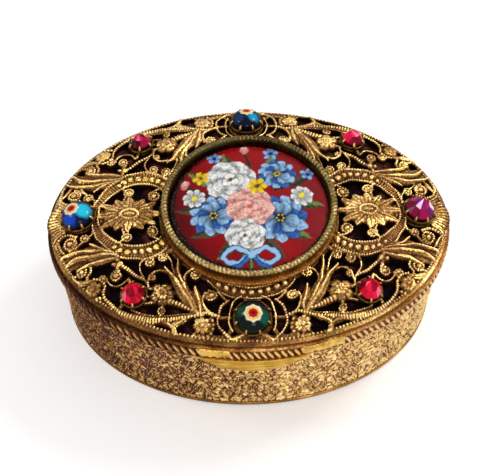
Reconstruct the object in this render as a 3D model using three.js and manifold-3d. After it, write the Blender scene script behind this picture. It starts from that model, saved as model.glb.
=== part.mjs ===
// An oval gilt brass snuff box, 90 mm long: a pierced and domed lid with a round enamel
// medallion and eight set stones, hinged at the back of a lined body.
// Millimetres. +X runs along the box, +Y to the hinge at the back, +Z up.
// The origin is the centre of the flat underside.
import * as THREE from "three";
import { mergeVertices } from "three/addons/utils/BufferGeometryUtils.js";
import Module from "manifold-3d";

const wasm = await Module();
wasm.setup();

// Driving sizes of the whole box
const LID_LENGTH = 90;
const LID_WIDTH = 66;
const BODY_HEIGHT = 23;
const BODY_INSET = 1.1; // the body's wall stands this far inside the lid's outline
const PARTING_GAP = 0.3; // between the top of the body and the lid's skirt
const OVAL_STEPS = 48;

// Body
const BOTTOM_THICKNESS = 0.7;
const WALL_THICKNESS = 0.7;
const LINER_THICKNESS = 0.5;
const LINER_RISE = 2.2; // the liner stands up inside the lid by this much
const LINING_THICKNESS = 0.5;
const LINING_DROP = 0.7; // the cloth lining stops this far below the liner's edge
const FLOOR_PAD_THICKNESS = 1;
const BASE_BEAD_HEIGHT = 1.2;
const BASE_BEAD_DEPTH = 0.6;
const BASE_BEAD_LIFT = 0.15;
const TOP_BEAD_HEIGHT = 0.7;
const TOP_BEAD_DEPTH = 0.4;
const TOP_BEAD_DROP = 0.1;

// Lid
const SKIRT_HEIGHT = 3.6;
const SKIRT_THICKNESS = 0.8;
const PLATE_THICKNESS = 0.8;
const DOME_RISE = 2.7; // from the plate's edge to its flat middle
const DOME_FLAT_SHARE = 0.5; // the flat middle's share of the oval
const BACKING_THICKNESS = 0.3;
const BACKING_GAP = 0.4; // the plate's flat facets dip below the true dome by less than this
const LID_PAD_THICKNESS = 0.8;
const LID_PAD_LIFT = 2.3; // the lid's pad sits this far above the skirt's lower edge
const ROPE_HEIGHT = 2.6;
const ROPE_DEPTH = 0.4;
const ROPE_LIFT = 0.7; // above the skirt's lower edge
const SEAT_GAP = 0.2; // between pieces soldered or pressed together

// Thumb lip under the front of the skirt
const LIP_LENGTH = 23;
const LIP_REACH = 1.3;
const LIP_DROP = 2.4;
const LIP_THICKNESS = 0.5;
const LIP_ROOT_HEIGHT = 0.55;
const LIP_STEPS = 12;

// Medallion
const MEDALLION_RADIUS = 19.5;
const MEDALLION_HEIGHT = 4.5;
const BEZEL_WALL = 1.9;
const BEZEL_LEDGE = 1.6;
const BEZEL_LEDGE_HEIGHT = 1.6;
const ENAMEL_EDGE = 0.6;
const ENAMEL_RISE = 1.3;

// Stones and their settings
const CABOCHON_RADIUS = 3.6;
const CABOCHON_HEIGHT = 2.6;
const END_STONE_RADIUS = 3.3;
const END_STONE_HEIGHT = 2.2;
const CORNER_STONE_RADIUS = 2.5;
const CORNER_STONE_HEIGHT = 1.9;
const COLLET_HEIGHT = 0.9;
const COLLET_GAP = 0.3; // from the dome to the underside of a tilted collet
const CLAW_HEIGHT = 1.2;
const CLAW_THICKNESS = 0.35;
const CLAW_WIDTH = 1;
const STEM_RADIUS = 0.55;
const STEM_LENGTH = 1.7;
const STEM_CLEARANCE = 0.45;

// Hinge
const HINGE_LENGTH = 20;
const PIN_RADIUS = 0.5;
const PIN_CLEARANCE = 0.1;
const KNUCKLE_RADIUS = 1.1;
const KNUCKLE_COUNT = 5;
const KNUCKLE_GAP = 0.15;
const LEAF_HEIGHT = 3.2;
const LEAF_THICKNESS = 0.6;
const LEAF_GAP = 0.75; // each leaf starts this far above or below the hinge's axis
const PIN_OVERHANG = 0.4;

// Places worked out from the sizes
const lidA = LID_LENGTH / 2;
const lidB = LID_WIDTH / 2;
const bodyA = lidA - BODY_INSET;
const bodyB = lidB - BODY_INSET;
const skirtFoot = BODY_HEIGHT + PARTING_GAP;
const skirtTop = skirtFoot + SKIRT_HEIGHT;
const plateEdge = skirtTop + SEAT_GAP + PLATE_THICKNESS;
const plateMiddle = plateEdge + DOME_RISE;
const wallFoot = BOTTOM_THICKNESS + SEAT_GAP;
const linerTop = BODY_HEIGHT + LINER_RISE;
const stemHole = STEM_RADIUS + STEM_CLEARANCE;

const brass = { color: 0xb08a3e, roughness: 0.38, metalness: 1 };
const agedBrass = { color: 0x8f6f38, roughness: 0.5, metalness: 1 };
const velvet = { color: 0x3a0f1c, roughness: 0.95, metalness: 0 };

const box = new THREE.Group();

function addMesh(name, geometry, look, parent = box) {
  const mesh = new THREE.Mesh(geometry, new THREE.MeshStandardMaterial(look));
  mesh.name = name;
  parent.add(mesh);
  return mesh;
}

// A closed mesh as a solid that can be joined and cut.
function solid(geometry) {
  const bare = new THREE.BufferGeometry();
  bare.setAttribute("position", geometry.getAttribute("position"));
  if (geometry.index) bare.setIndex(geometry.index);
  const merged = mergeVertices(bare, 1e-4);
  return new wasm.Manifold(
    new wasm.Mesh({
      numProp: 3,
      vertProperties: new Float32Array(merged.attributes.position.array),
      triVerts: new Uint32Array(merged.index.array),
    }),
  );
}

function geometryOf(made) {
  const mesh = made.getMesh();
  const geometry = new THREE.BufferGeometry();
  geometry.setAttribute(
    "position",
    new THREE.BufferAttribute(new Float32Array(mesh.vertProperties), 3),
  );
  geometry.setIndex(new THREE.BufferAttribute(new Uint32Array(mesh.triVerts), 1));
  geometry.computeVertexNormals();
  return geometry;
}

function indexedGeometry(vertices, faces) {
  const geometry = new THREE.BufferGeometry();
  geometry.setAttribute("position", new THREE.Float32BufferAttribute(vertices.flat(), 3));
  geometry.setIndex(faces.flat());
  geometry.computeVertexNormals();
  return geometry;
}

function ovalPoint(step, a, b) {
  const angle = (2 * Math.PI * step) / OVAL_STEPS;
  return [a * Math.cos(angle), b * Math.sin(angle)];
}

function ovalShape(a, b) {
  const points = [];
  for (let i = 0; i < OVAL_STEPS; i++) points.push(new THREE.Vector2(...ovalPoint(i, a, b)));
  return new THREE.Shape(points);
}

function extrude(shape, low, high) {
  const geometry = new THREE.ExtrudeGeometry(shape, { depth: high - low, bevelEnabled: false });
  geometry.translate(0, 0, low);
  return geometry;
}

function ovalPlate(a, b, low, high) {
  return extrude(ovalShape(a, b), low, high);
}

// A ring round the oval a by b. The profile lists [offset outwards, z], anticlockwise.
function ovalRing(a, b, profile) {
  const vertices = [];
  const faces = [];
  const count = profile.length;
  for (let i = 0; i < OVAL_STEPS; i++)
    for (const [offset, z] of profile) vertices.push([...ovalPoint(i, a + offset, b + offset), z]);
  for (let i = 0; i < OVAL_STEPS; i++) {
    const next = (i + 1) % OVAL_STEPS;
    for (let j = 0; j < count; j++) {
      const k = (j + 1) % count;
      const [p, q, r, s] = [i * count + j, next * count + j, next * count + k, i * count + k];
      faces.push([p, q, r], [p, r, s]);
    }
  }
  return indexedGeometry(vertices, faces);
}

function squareProfile(inner, outer, low, high) {
  return [
    [inner, low],
    [outer, low],
    [outer, high],
    [inner, high],
  ];
}

function beadProfile(inner, depth, low, height) {
  return [
    [inner, low],
    [inner + depth * 0.6, low + height * 0.08],
    [inner + depth, low + height * 0.5],
    [inner + depth * 0.6, low + height * 0.92],
    [inner, low + height],
  ];
}

function block(x0, x1, y0, y1, z0, z1) {
  const geometry = new THREE.BoxGeometry(x1 - x0, y1 - y0, z1 - z0);
  return geometry.translate((x0 + x1) / 2, (y0 + y1) / 2, (z0 + z1) / 2);
}

function rod(radius, x0, x1, y, z, sides) {
  const geometry = new THREE.CylinderGeometry(radius, radius, x1 - x0, sides);
  return geometry.rotateZ(Math.PI / 2).translate((x0 + x1) / 2, y, z);
}

// Height of the plate's upper face: flat in the middle, then falling to the edge.
function plateHeight(x, y) {
  const share = Math.hypot(x / lidA, y / lidB);
  const fall = Math.max(0, (share - DOME_FLAT_SHARE) / (1 - DOME_FLAT_SHARE));
  return plateMiddle - DOME_RISE * fall * fall;
}

// A sheet that follows the dome, its upper face lowered by drop.
function domedSheet(a, b, drop, thickness) {
  const rings = [DOME_FLAT_SHARE, (1 + DOME_FLAT_SHARE) / 2, 1];
  const vertices = [];
  const faces = [];
  for (const lower of [drop, drop + thickness]) {
    vertices.push([0, 0, plateHeight(0, 0) - lower]);
    for (const share of rings)
      for (let i = 0; i < OVAL_STEPS; i++) {
        const [x, y] = ovalPoint(i, a * share, b * share);
        vertices.push([x, y, plateHeight(x, y) - lower]);
      }
  }
  const steps = OVAL_STEPS;
  const side = 1 + rings.length * steps;
  for (let i = 0; i < steps; i++) {
    const next = (i + 1) % steps;
    faces.push([0, 1 + i, 1 + next], [side, side + 1 + next, side + 1 + i]);
    for (let r = 0; r + 1 < rings.length; r++) {
      const [p, q] = [1 + r * steps + i, 1 + r * steps + next];
      const [s, t] = [p + steps, q + steps];
      faces.push([p, s, t], [p, t, q]);
      faces.push([side + p, side + t, side + s], [side + p, side + q, side + t]);
    }
    const rim = 1 + (rings.length - 1) * steps;
    const [p, q] = [rim + i, rim + next];
    faces.push([p, side + p, side + q], [p, side + q, q]);
  }
  return indexedGeometry(vertices, faces);
}

// The pattern of the pierced plate is drawn once, one quarter only, for an oval and a
// medallion of these sizes, as [distance along the box, distance across it]. Every outline
// is then stretched to the real oval and medallion, so all that touches still touches.
const DRAWN_A = 45;
const DRAWN_B = 33;
const DRAWN_MEDALLION = 19.5;

function ovalReach(angle, a, b) {
  return (a * b) / Math.hypot(b * Math.cos(angle), a * Math.sin(angle));
}

function fitToLid([u, v]) {
  const angle = Math.atan2(v, u);
  const drawnReach = ovalReach(angle, DRAWN_A, DRAWN_B);
  const share = (Math.hypot(u, v) - DRAWN_MEDALLION) / (drawnReach - DRAWN_MEDALLION);
  const reach = MEDALLION_RADIUS + share * (ovalReach(angle, lidA, lidB) - MEDALLION_RADIUS);
  return [reach * Math.cos(angle), reach * Math.sin(angle)];
}

const CABOCHON_SPOT = [0, 26.9];
const CABOCHON_SEAT = 4.3;
const END_SPOT = [38, 0];
const END_SEAT = 4;
const CORNER_SPOT = [24.85, 20.75];
const CORNER_SEAT = 3.2;
const ROSETTE_SPOT = [26.9, 0];
const ROSETTE_LENGTH = 12.4;
const ROSETTE_WIDTH = 10;
const ROSETTE_PETALS = 12;
const FRAME_SPOT = [24.5, 0];
const FRAME_A = 10.6;
const FRAME_B = 12.1;
const FRAME_BAND = 2.3;
const BOSS_SIDES = 8;
const SEAT_SIDES = 10;
const FRAME_STEPS = 24;
const PLATE_RIM = 1.9;
const MEDALLION_SEAT_MARGIN = 0.7;
const STONE_SEAT_MARGIN = 0.7;

// Scrolls and stems: width, then the points that the middle line runs through.
const STEMS = [
  [0.9, [[27, 3.5], [27.2, 9.8]]],
  [0.9, [[18.4, 7.6], [20.4, 6.4], [22, 5.7]]],
  [1.1, [[34.2, 4.2], [36.2, 6.3], [38.6, 7]]],
  [1.1, [[40.4, 6.4], [42, 8.6], [42.6, 11.6]]],
  [1.1, [[41.6, 13], [39.8, 15.8], [37, 16.5]]],
  [1, [[29.2, 12.2], [27, 14.8], [25, 18.5]]],
  [0.9, [[26.2, 15.4], [26.8, 17.6], [28.8, 18.3], [30.6, 17], [29.9, 15.6]]],
  [0.9, [[30.6, 17], [32.4, 17.3], [34, 18.2]]],
  [1.1, [[10.8, 26.2], [15, 26.1], [20, 26.5], [24.5, 25.8], [28.4, 23.6], [31.4, 21]]],
  [1, [[19.2, 23], [19.4, 26.4]]],
  [0.9, [[17.2, 16.4], [18.8, 14.9], [20.6, 14.9], [21.8, 16.6]]],
  [0.9, [[23.5, 11.4], [23.4, 14], [22.4, 17], [21.6, 19]]],
  [1, [[19.1, 10.6], [17.6, 12.4], [16.4, 15], [15.6, 17]]],
  [0.9, [[13.8, 20.2], [13.9, 17.2], [12.2, 15.7]]],
  [1, [[9, 21.8], [9.9, 23.6], [11.2, 25.2]]],
  [0.9, [[6, 22.6], [7.7, 25], [7.9, 27.4], [6.4, 30.4]]],
  [1, [[3, 26.6], [8, 26.2], [11, 25.6]]],
  [0.9, [[12, 25], [16.8, 22.6]]],
  [1, [[27.6, 21.6], [29.4, 20.6], [29.8, 23.4]]],
];

// Acanthus leaves: greatest width, then the spine from root to tip.
const LEAVES = [
  [2.3, [[29.4, 11], [33, 10.1], [36.8, 9.4], [40, 10.6], [41, 13.2]]],
  [1.7, [[29.6, 12], [32.4, 13.1], [35.6, 13.7]]],
  [2.6, [[11.4, 25.4], [14, 21], [16.2, 17.4], [18.4, 14.4]]],
  [1.9, [[13, 22.6], [14.7, 17.4], [15.2, 12.4]]],
  [1.6, [[11.3, 24.6], [11.7, 21.6], [11.4, 18.8]]],
  [1.5, [[13.4, 26.4], [15.4, 27.6], [16.4, 29.4]]],
];

// Curled tips, small bosses and blossoms: radius, then the centre.
const BOSSES = [
  [1.3, [27.2, 7.3]],
  [1.6, [21.9, 5.6]],
  [1.8, [39.4, 6.9]],
  [1.8, [36.8, 15.2]],
  [1.2, [29.3, 12]],
  [1.4, [29.4, 15.7]],
  [2, [34, 18.8]],
  [1.2, [21.8, 12.4]],
  [1.2, [21.4, 16.9]],
  [1.4, [12.1, 15.6]],
  [1.4, [8.9, 21.6]],
  [1.4, [11.2, 25.4]],
];
const BLOSSOMS = [
  [2.7, 5, [18.9, 20.9]],
  [2, 8, [10.6, 28.4]],
];
const SWAG = [2.4, [[9.2, 17.8], [6.2, 19.9], [3, 21.1], [-0.4, 21.5]]];
const FAN = [[41, 0], [41.4, 2.4], [43.6, 4.4], [45, 3.2], [45.6, 1.6], [45.6, 0]];

const HIGH = plateMiddle + MEDALLION_HEIGHT;

// The outline of a stem or leaf, from its middle line and its width.
function ribbonOutline(points, width, spread) {
  const spline = new THREE.SplineCurve(points.map((p) => new THREE.Vector2(...p)));
  const steps = points.length > 2 ? 2 * (points.length - 1) : 1;
  const left = [];
  const right = [];
  for (let i = 0; i <= steps; i++) {
    const t = i / steps;
    const middle = spline.getPoint(t);
    const along = spline.getTangent(t);
    const half = (width / 2) * spread(t);
    left.push([middle.x - along.y * half, middle.y + along.x * half]);
    right.unshift([middle.x + along.y * half, middle.y - along.x * half]);
  }
  return [...left, ...right];
}

const even = () => 1;
const leafSpread = (t) => 0.3 + 0.7 * Math.sin(Math.PI * Math.min(1, 0.22 + 0.74 * t)) ** 1.5;

function roundOutline([cx, cy], radius, sides) {
  const points = [];
  for (let i = 0; i < sides; i++) {
    const angle = (2 * Math.PI * (i + 0.5)) / sides;
    points.push([cx + radius * Math.cos(angle), cy + radius * Math.sin(angle)]);
  }
  return points;
}

// A blossom: two points to each petal and one between petals.
function blossomOutline([cx, cy], a, b, petals) {
  const points = [];
  const turns = [-0.27, 0.27, 0.5];
  for (let i = 0; i < petals; i++)
    for (const turn of turns) {
      const angle = (2 * Math.PI * (i + turn)) / petals;
      const share = turn === 0.5 ? 0.66 : 1;
      points.push([cx + a * share * Math.cos(angle), cy + b * share * Math.sin(angle)]);
    }
  return points;
}

function quarterOutlines() {
  const outlines = [];
  for (const [width, points] of STEMS) outlines.push(ribbonOutline(points, width, even));
  for (const [width, points] of LEAVES) outlines.push(ribbonOutline(points, width, leafSpread));
  for (const [radius, spot] of BOSSES) outlines.push(roundOutline(spot, radius, BOSS_SIDES));
  for (const [radius, petals, spot] of BLOSSOMS)
    outlines.push(blossomOutline(spot, radius, radius, petals));
  outlines.push(ribbonOutline(SWAG[1], SWAG[0], even));
  outlines.push(roundOutline(CABOCHON_SPOT, CABOCHON_SEAT, SEAT_SIDES));
  outlines.push(roundOutline(END_SPOT, END_SEAT, SEAT_SIDES));
  outlines.push(roundOutline(CORNER_SPOT, CORNER_SEAT, SEAT_SIDES));
  const halves = [ROSETTE_LENGTH / 2, ROSETTE_WIDTH / 2];
  outlines.push(blossomOutline(ROSETTE_SPOT, ...halves, ROSETTE_PETALS));
  return outlines.map((outline) => outline.map(fitToLid));
}

// The oval frame round a rosette, as an outline and a hole that run the same way round.
function frameShape(side) {
  const ring = (inset) => {
    const points = [];
    for (let i = 0; i < FRAME_STEPS; i++) {
      const angle = (side * 2 * Math.PI * i) / FRAME_STEPS;
      const along = FRAME_SPOT[0] + (FRAME_A - inset) * Math.cos(angle);
      const [x, y] = fitToLid([along, (FRAME_B - inset) * Math.sin(angle)]);
      points.push(new THREE.Vector2(side * x, y));
    }
    return points;
  };
  const shape = new THREE.Shape(ring(0));
  shape.holes.push(new THREE.Path(ring(FRAME_BAND)));
  return shape;
}

function flatPiece(shape) {
  return solid(extrude(shape, 0, PLATE_THICKNESS));
}

function flatOutline(points, sx = 1, sy = 1) {
  return flatPiece(new THREE.Shape(points.map(([x, y]) => new THREE.Vector2(sx * x, sy * y))));
}

const stones = stoneList();

// Where each stone is: its place, the radius and height of the stone, and its kind.
function stoneList() {
  const spots = [
    ["front", CABOCHON_SPOT, 0, -1, "cabochon"],
    ["back", CABOCHON_SPOT, 0, 1, "cabochon"],
    ["left", END_SPOT, -1, 0, "cabochon"],
    ["right", END_SPOT, 1, 0, "end"],
    ["front_left", CORNER_SPOT, -1, -1, "corner"],
    ["front_right", CORNER_SPOT, 1, -1, "corner"],
    ["back_left", CORNER_SPOT, -1, 1, "corner"],
    ["back_right", CORNER_SPOT, 1, 1, "corner"],
  ];
  const radii = { cabochon: CABOCHON_RADIUS, end: END_STONE_RADIUS, corner: CORNER_STONE_RADIUS };
  return spots.map(([name, spot, sx, sy, kind]) => {
    const [u, v] = fitToLid(spot);
    return { name, kind, radius: radii[kind], x: sx * u, y: sy * v };
  });
}

const QUARTERS = [
  [1, 1],
  [-1, 1],
  [1, -1],
  [-1, -1],
];

// The whole pattern as one flat sheet of even thickness.
function flatPlate() {
  const rim = ovalShape(lidA, lidB);
  rim.holes.push(new THREE.Path(ovalShape(lidA - PLATE_RIM, lidB - PLATE_RIM).getPoints()));
  const pieces = [flatPiece(rim)];
  pieces.push(flatOutline(roundOutline([0, 0], MEDALLION_RADIUS + MEDALLION_SEAT_MARGIN, 32)));
  for (const outline of quarterOutlines())
    for (const [sx, sy] of QUARTERS) pieces.push(flatOutline(outline, sx, sy));
  for (const side of [1, -1]) pieces.push(flatPiece(frameShape(side)));
  for (const { x, y, radius } of stones)
    pieces.push(flatOutline(roundOutline([x, y], radius + STONE_SEAT_MARGIN, SEAT_SIDES)));
  const inside = wasm.Manifold.union(pieces).intersect(flatPiece(ovalShape(lidA, lidB)));
  const fans = QUARTERS.map(([sx, sy]) => flatOutline(FAN.map(fitToLid), sx, sy));
  return wasm.Manifold.union([inside, ...fans]);
}

// The flat plate with every corner moved up or down to lie on the dome.
function piercedPlate() {
  const geometry = geometryOf(cutStemHoles(flatPlate()));
  const position = geometry.getAttribute("position");
  for (let i = 0; i < position.count; i++) {
    const lift = plateHeight(position.getX(i), position.getY(i)) - PLATE_THICKNESS;
    position.setZ(i, position.getZ(i) + lift);
  }
  geometry.computeVertexNormals();
  return geometry;
}

function cutStemHoles(sheet) {
  const holes = stones.map(({ x, y }) => {
    const hole = new THREE.CylinderGeometry(stemHole, stemHole, 4 * HIGH, 8);
    return solid(hole.rotateX(Math.PI / 2).translate(x, y, 0));
  });
  return sheet.subtract(wasm.Manifold.union(holes));
}

function buildLidShell() {
  const skirt = squareProfile(-SKIRT_THICKNESS, 0, skirtFoot, skirtTop);
  addMesh("lid_skirt", ovalRing(lidA, lidB, skirt), agedBrass);
  const ropeFoot = skirtFoot + ROPE_LIFT;
  const rope = solid(
    ovalRing(lidA, lidB, beadProfile(SEAT_GAP, ROPE_DEPTH, ropeFoot, ROPE_HEIGHT)),
  );
  const reach = HINGE_LENGTH / 2 + 2 * KNUCKLE_GAP;
  const hingeRoom = solid(block(-reach, reach, 0, LID_WIDTH, 0, HIGH));
  addMesh("lid_rope_band", geometryOf(rope.subtract(hingeRoom)), brass);
  addMesh("lid_pierced_plate", piercedPlate(), brass);
  const inside = -SKIRT_THICKNESS - SEAT_GAP;
  const backing = domedSheet(
    lidA + inside,
    lidB + inside,
    PLATE_THICKNESS + BACKING_GAP,
    BACKING_THICKNESS,
  );
  addMesh("lid_backing_sheet", geometryOf(cutStemHoles(solid(backing))), {
    color: 0x2a1418,
    roughness: 0.6,
    metalness: 0.2,
  });
  const padFoot = skirtFoot + LID_PAD_LIFT;
  const pad = ovalPlate(lidA + inside, lidB + inside, padFoot, padFoot + LID_PAD_THICKNESS);
  addMesh("lid_lining_pad", pad, velvet);
}

// The lip is a crescent that hangs from the front of the skirt and flares outwards.
function buildThumbLip() {
  const half = LIP_LENGTH / 2;
  const vertices = [];
  const faces = [];
  const count = 5;
  for (let i = 0; i <= LIP_STEPS; i++) {
    const x = -half + (LIP_LENGTH * i) / LIP_STEPS;
    const share = Math.max(0.06, 1 - (x / half) ** 2);
    const reach = LIP_REACH * share;
    const drop = LIP_DROP * share;
    const section = [
      [SEAT_GAP, skirtFoot],
      [SEAT_GAP + reach * 0.7, skirtFoot - drop],
      [SEAT_GAP + reach * 0.7 + LIP_THICKNESS * share, skirtFoot - drop * 0.9],
      [SEAT_GAP + LIP_THICKNESS, skirtFoot + LIP_ROOT_HEIGHT * 0.3],
      [SEAT_GAP + LIP_THICKNESS * 0.6, skirtFoot + LIP_ROOT_HEIGHT],
    ];
    for (const [offset, z] of section) {
      const y = -(lidB + offset) * Math.sqrt(1 - (x / (lidA + offset)) ** 2);
      vertices.push([x, y, z]);
    }
  }
  for (let i = 0; i < LIP_STEPS; i++)
    for (let j = 0; j < count; j++) {
      const k = (j + 1) % count;
      const [p, q, r, s] = [i * count + j, i * count + k, (i + 1) * count + k, (i + 1) * count + j];
      faces.push([p, r, q], [p, s, r]);
    }
  const last = LIP_STEPS * count;
  for (let j = 1; j + 1 < count; j++)
    faces.push([0, j, j + 1], [last, last + j + 1, last + j]);
  addMesh("thumb_lip", indexedGeometry(vertices, faces), brass);
}

function lathe(profile, steps) {
  return new THREE.LatheGeometry(
    profile.map(([r, z]) => new THREE.Vector2(r, z)),
    steps,
  ).rotateX(Math.PI / 2);
}

function buildMedallion() {
  const medallion = new THREE.Group();
  medallion.position.z = plateMiddle + SEAT_GAP;
  box.add(medallion);
  const outer = MEDALLION_RADIUS;
  const inner = outer - BEZEL_WALL;
  const ledge = inner - BEZEL_LEDGE;
  const bezel = [
    [ledge, 0],
    [outer - 0.3, 0],
    [outer - 0.1, MEDALLION_HEIGHT - 1.5],
    [outer + 0.15, MEDALLION_HEIGHT - 1],
    [outer, MEDALLION_HEIGHT - 0.25],
    [outer - 0.8, MEDALLION_HEIGHT],
    [inner + 0.2, MEDALLION_HEIGHT - 0.3],
    [inner, BEZEL_LEDGE_HEIGHT],
    [ledge, BEZEL_LEDGE_HEIGHT],
    [ledge, 0],
  ];
  addMesh("medallion_bezel", lathe(bezel, 40), brass, medallion);
  const cardRadius = ledge - SEAT_GAP;
  const card = [
    [0, 0],
    [cardRadius, 0],
    [cardRadius, BEZEL_LEDGE_HEIGHT - SEAT_GAP],
    [0, BEZEL_LEDGE_HEIGHT - SEAT_GAP],
  ];
  addMesh("medallion_packing_card", lathe(card, 32), { color: 0x9b8460, roughness: 0.9 }, medallion);
  const discRadius = inner - SEAT_GAP;
  const discFoot = BEZEL_LEDGE_HEIGHT + SEAT_GAP;
  const disc = [[0, discFoot], [discRadius, discFoot]];
  const discRings = 4;
  for (let i = 0; i <= discRings; i++) {
    const r = discRadius * Math.sqrt(1 - i / discRings);
    disc.push([r, discFoot + ENAMEL_EDGE + ENAMEL_RISE * (1 - (r / discRadius) ** 2)]);
  }
  addMesh("enamel_disc", lathe(disc, 40), { color: 0x7d1420, roughness: 0.15 }, medallion);
}

// A group at the stone's place on the plate, tilted to lie on the dome.
function seatOnPlate(x, y) {
  const step = 0.5;
  const slopeX = (plateHeight(x + step, y) - plateHeight(x - step, y)) / (2 * step);
  const slopeY = (plateHeight(x, y + step) - plateHeight(x, y - step)) / (2 * step);
  const group = new THREE.Group();
  const normal = new THREE.Vector3(-slopeX, -slopeY, 1).normalize();
  group.quaternion.setFromUnitVectors(new THREE.Vector3(0, 0, 1), normal);
  group.position.set(x, y, plateHeight(x, y)).addScaledVector(normal, COLLET_GAP);
  box.add(group);
  return group;
}

function claw(radius, angle) {
  const half = CLAW_WIDTH / 2;
  const outline = new THREE.Shape([
    new THREE.Vector2(-half, 0),
    new THREE.Vector2(half, 0),
    new THREE.Vector2(0, CLAW_HEIGHT + COLLET_HEIGHT / 2),
  ]);
  const geometry = new THREE.ExtrudeGeometry(outline, {
    depth: CLAW_THICKNESS,
    bevelEnabled: false,
  });
  geometry.rotateX(Math.PI / 2).rotateZ(Math.PI / 2);
  return geometry.translate(radius, 0, COLLET_HEIGHT / 2).rotateZ(angle);
}

function collet(radius, claws) {
  const rim = radius + SEAT_GAP + CLAW_THICKNESS;
  const profile = [
    [0, 0],
    [radius * 0.75, 0],
    [rim, COLLET_HEIGHT * 0.55],
    [rim, COLLET_HEIGHT],
    [0, COLLET_HEIGHT],
  ];
  let made = solid(lathe(profile, 12));
  for (let i = 0; i < claws; i++)
    made = made.add(solid(claw(radius + SEAT_GAP, (2 * Math.PI * (i + 0.5)) / claws)));
  const stem = new THREE.CylinderGeometry(STEM_RADIUS, STEM_RADIUS, STEM_LENGTH + 0.2, 8);
  stem.rotateX(Math.PI / 2).translate(0, 0, -STEM_LENGTH / 2 + 0.1);
  return geometryOf(made.add(solid(stem)));
}

function cabochon() {
  const profile = [[0, 0], [CABOCHON_RADIUS * 0.94, 0], [CABOCHON_RADIUS, 0.45]];
  for (const tilt of [0.35, 0.75, 1.15])
    profile.push([
      CABOCHON_RADIUS * Math.cos(tilt),
      0.45 + (CABOCHON_HEIGHT - 0.45) * Math.sin(tilt),
    ]);
  profile.push([0, CABOCHON_HEIGHT]);
  return lathe(profile, 16);
}

function facetedStone(radius, height) {
  const girdle = 0.4;
  const profile = [
    [0, 0],
    [radius * 0.9, 0],
    [radius, girdle],
    [radius * 0.8, girdle + (height - girdle) * 0.55],
    [radius * 0.5, height],
    [0, height],
  ];
  return lathe(profile, 8);
}

function buildStones() {
  const looks = {
    front: { color: 0x0c4a3a, roughness: 0.1 },
    back: { color: 0x0f5f9e, roughness: 0.1 },
    left: { color: 0x1583b4, roughness: 0.1 },
    right: { color: 0x6d0f4a, roughness: 0.08 },
  };
  const ruby = { color: 0xc10d3c, roughness: 0.08 };
  const shapes = {
    cabochon: [cabochon(), 8],
    end: [facetedStone(END_STONE_RADIUS, END_STONE_HEIGHT), 8],
    corner: [facetedStone(CORNER_STONE_RADIUS, CORNER_STONE_HEIGHT), 6],
  };
  for (const { name, kind, radius, x, y } of stones) {
    const [shape, claws] = shapes[kind];
    const seat = seatOnPlate(x, y);
    addMesh("setting_" + name, collet(radius, claws), brass, seat);
    const stone = addMesh("stone_" + name, shape, looks[name] ?? ruby, seat);
    stone.position.z = COLLET_HEIGHT + SEAT_GAP;
  }
}

function buildBody() {
  addMesh("bottom_plate", ovalPlate(bodyA, bodyB, 0, BOTTOM_THICKNESS), agedBrass);
  const wall = squareProfile(-WALL_THICKNESS, 0, wallFoot, BODY_HEIGHT);
  addMesh("body_wall", ovalRing(bodyA, bodyB, wall), brass);
  const baseBead = beadProfile(SEAT_GAP, BASE_BEAD_DEPTH, BASE_BEAD_LIFT, BASE_BEAD_HEIGHT);
  addMesh("base_bead", ovalRing(bodyA, bodyB, baseBead), brass);
  const beadFoot = BODY_HEIGHT - TOP_BEAD_DROP - TOP_BEAD_HEIGHT;
  const topBead = solid(
    ovalRing(bodyA, bodyB, beadProfile(SEAT_GAP, TOP_BEAD_DEPTH, beadFoot, TOP_BEAD_HEIGHT)),
  );
  const reach = HINGE_LENGTH / 2 + 2 * KNUCKLE_GAP;
  const hingeRoom = solid(block(-reach, reach, 0, LID_WIDTH, 0, HIGH));
  addMesh("body_top_bead", geometryOf(topBead.subtract(hingeRoom)), brass);
  const linerOut = -WALL_THICKNESS - SEAT_GAP;
  const linerIn = linerOut - LINER_THICKNESS;
  const liner = squareProfile(linerIn, linerOut, wallFoot, linerTop);
  addMesh("inner_liner", ovalRing(bodyA, bodyB, liner), brass);
  const clothOut = linerIn - SEAT_GAP;
  const padTop = wallFoot + FLOOR_PAD_THICKNESS;
  const pad = ovalPlate(bodyA + clothOut, bodyB + clothOut, wallFoot, padTop);
  addMesh("floor_lining_pad", pad, velvet);
  const cloth = squareProfile(
    clothOut - LINING_THICKNESS,
    clothOut,
    padTop + SEAT_GAP,
    linerTop - LINING_DROP,
  );
  addMesh("wall_lining", ovalRing(bodyA, bodyB, cloth), velvet);
}

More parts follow.
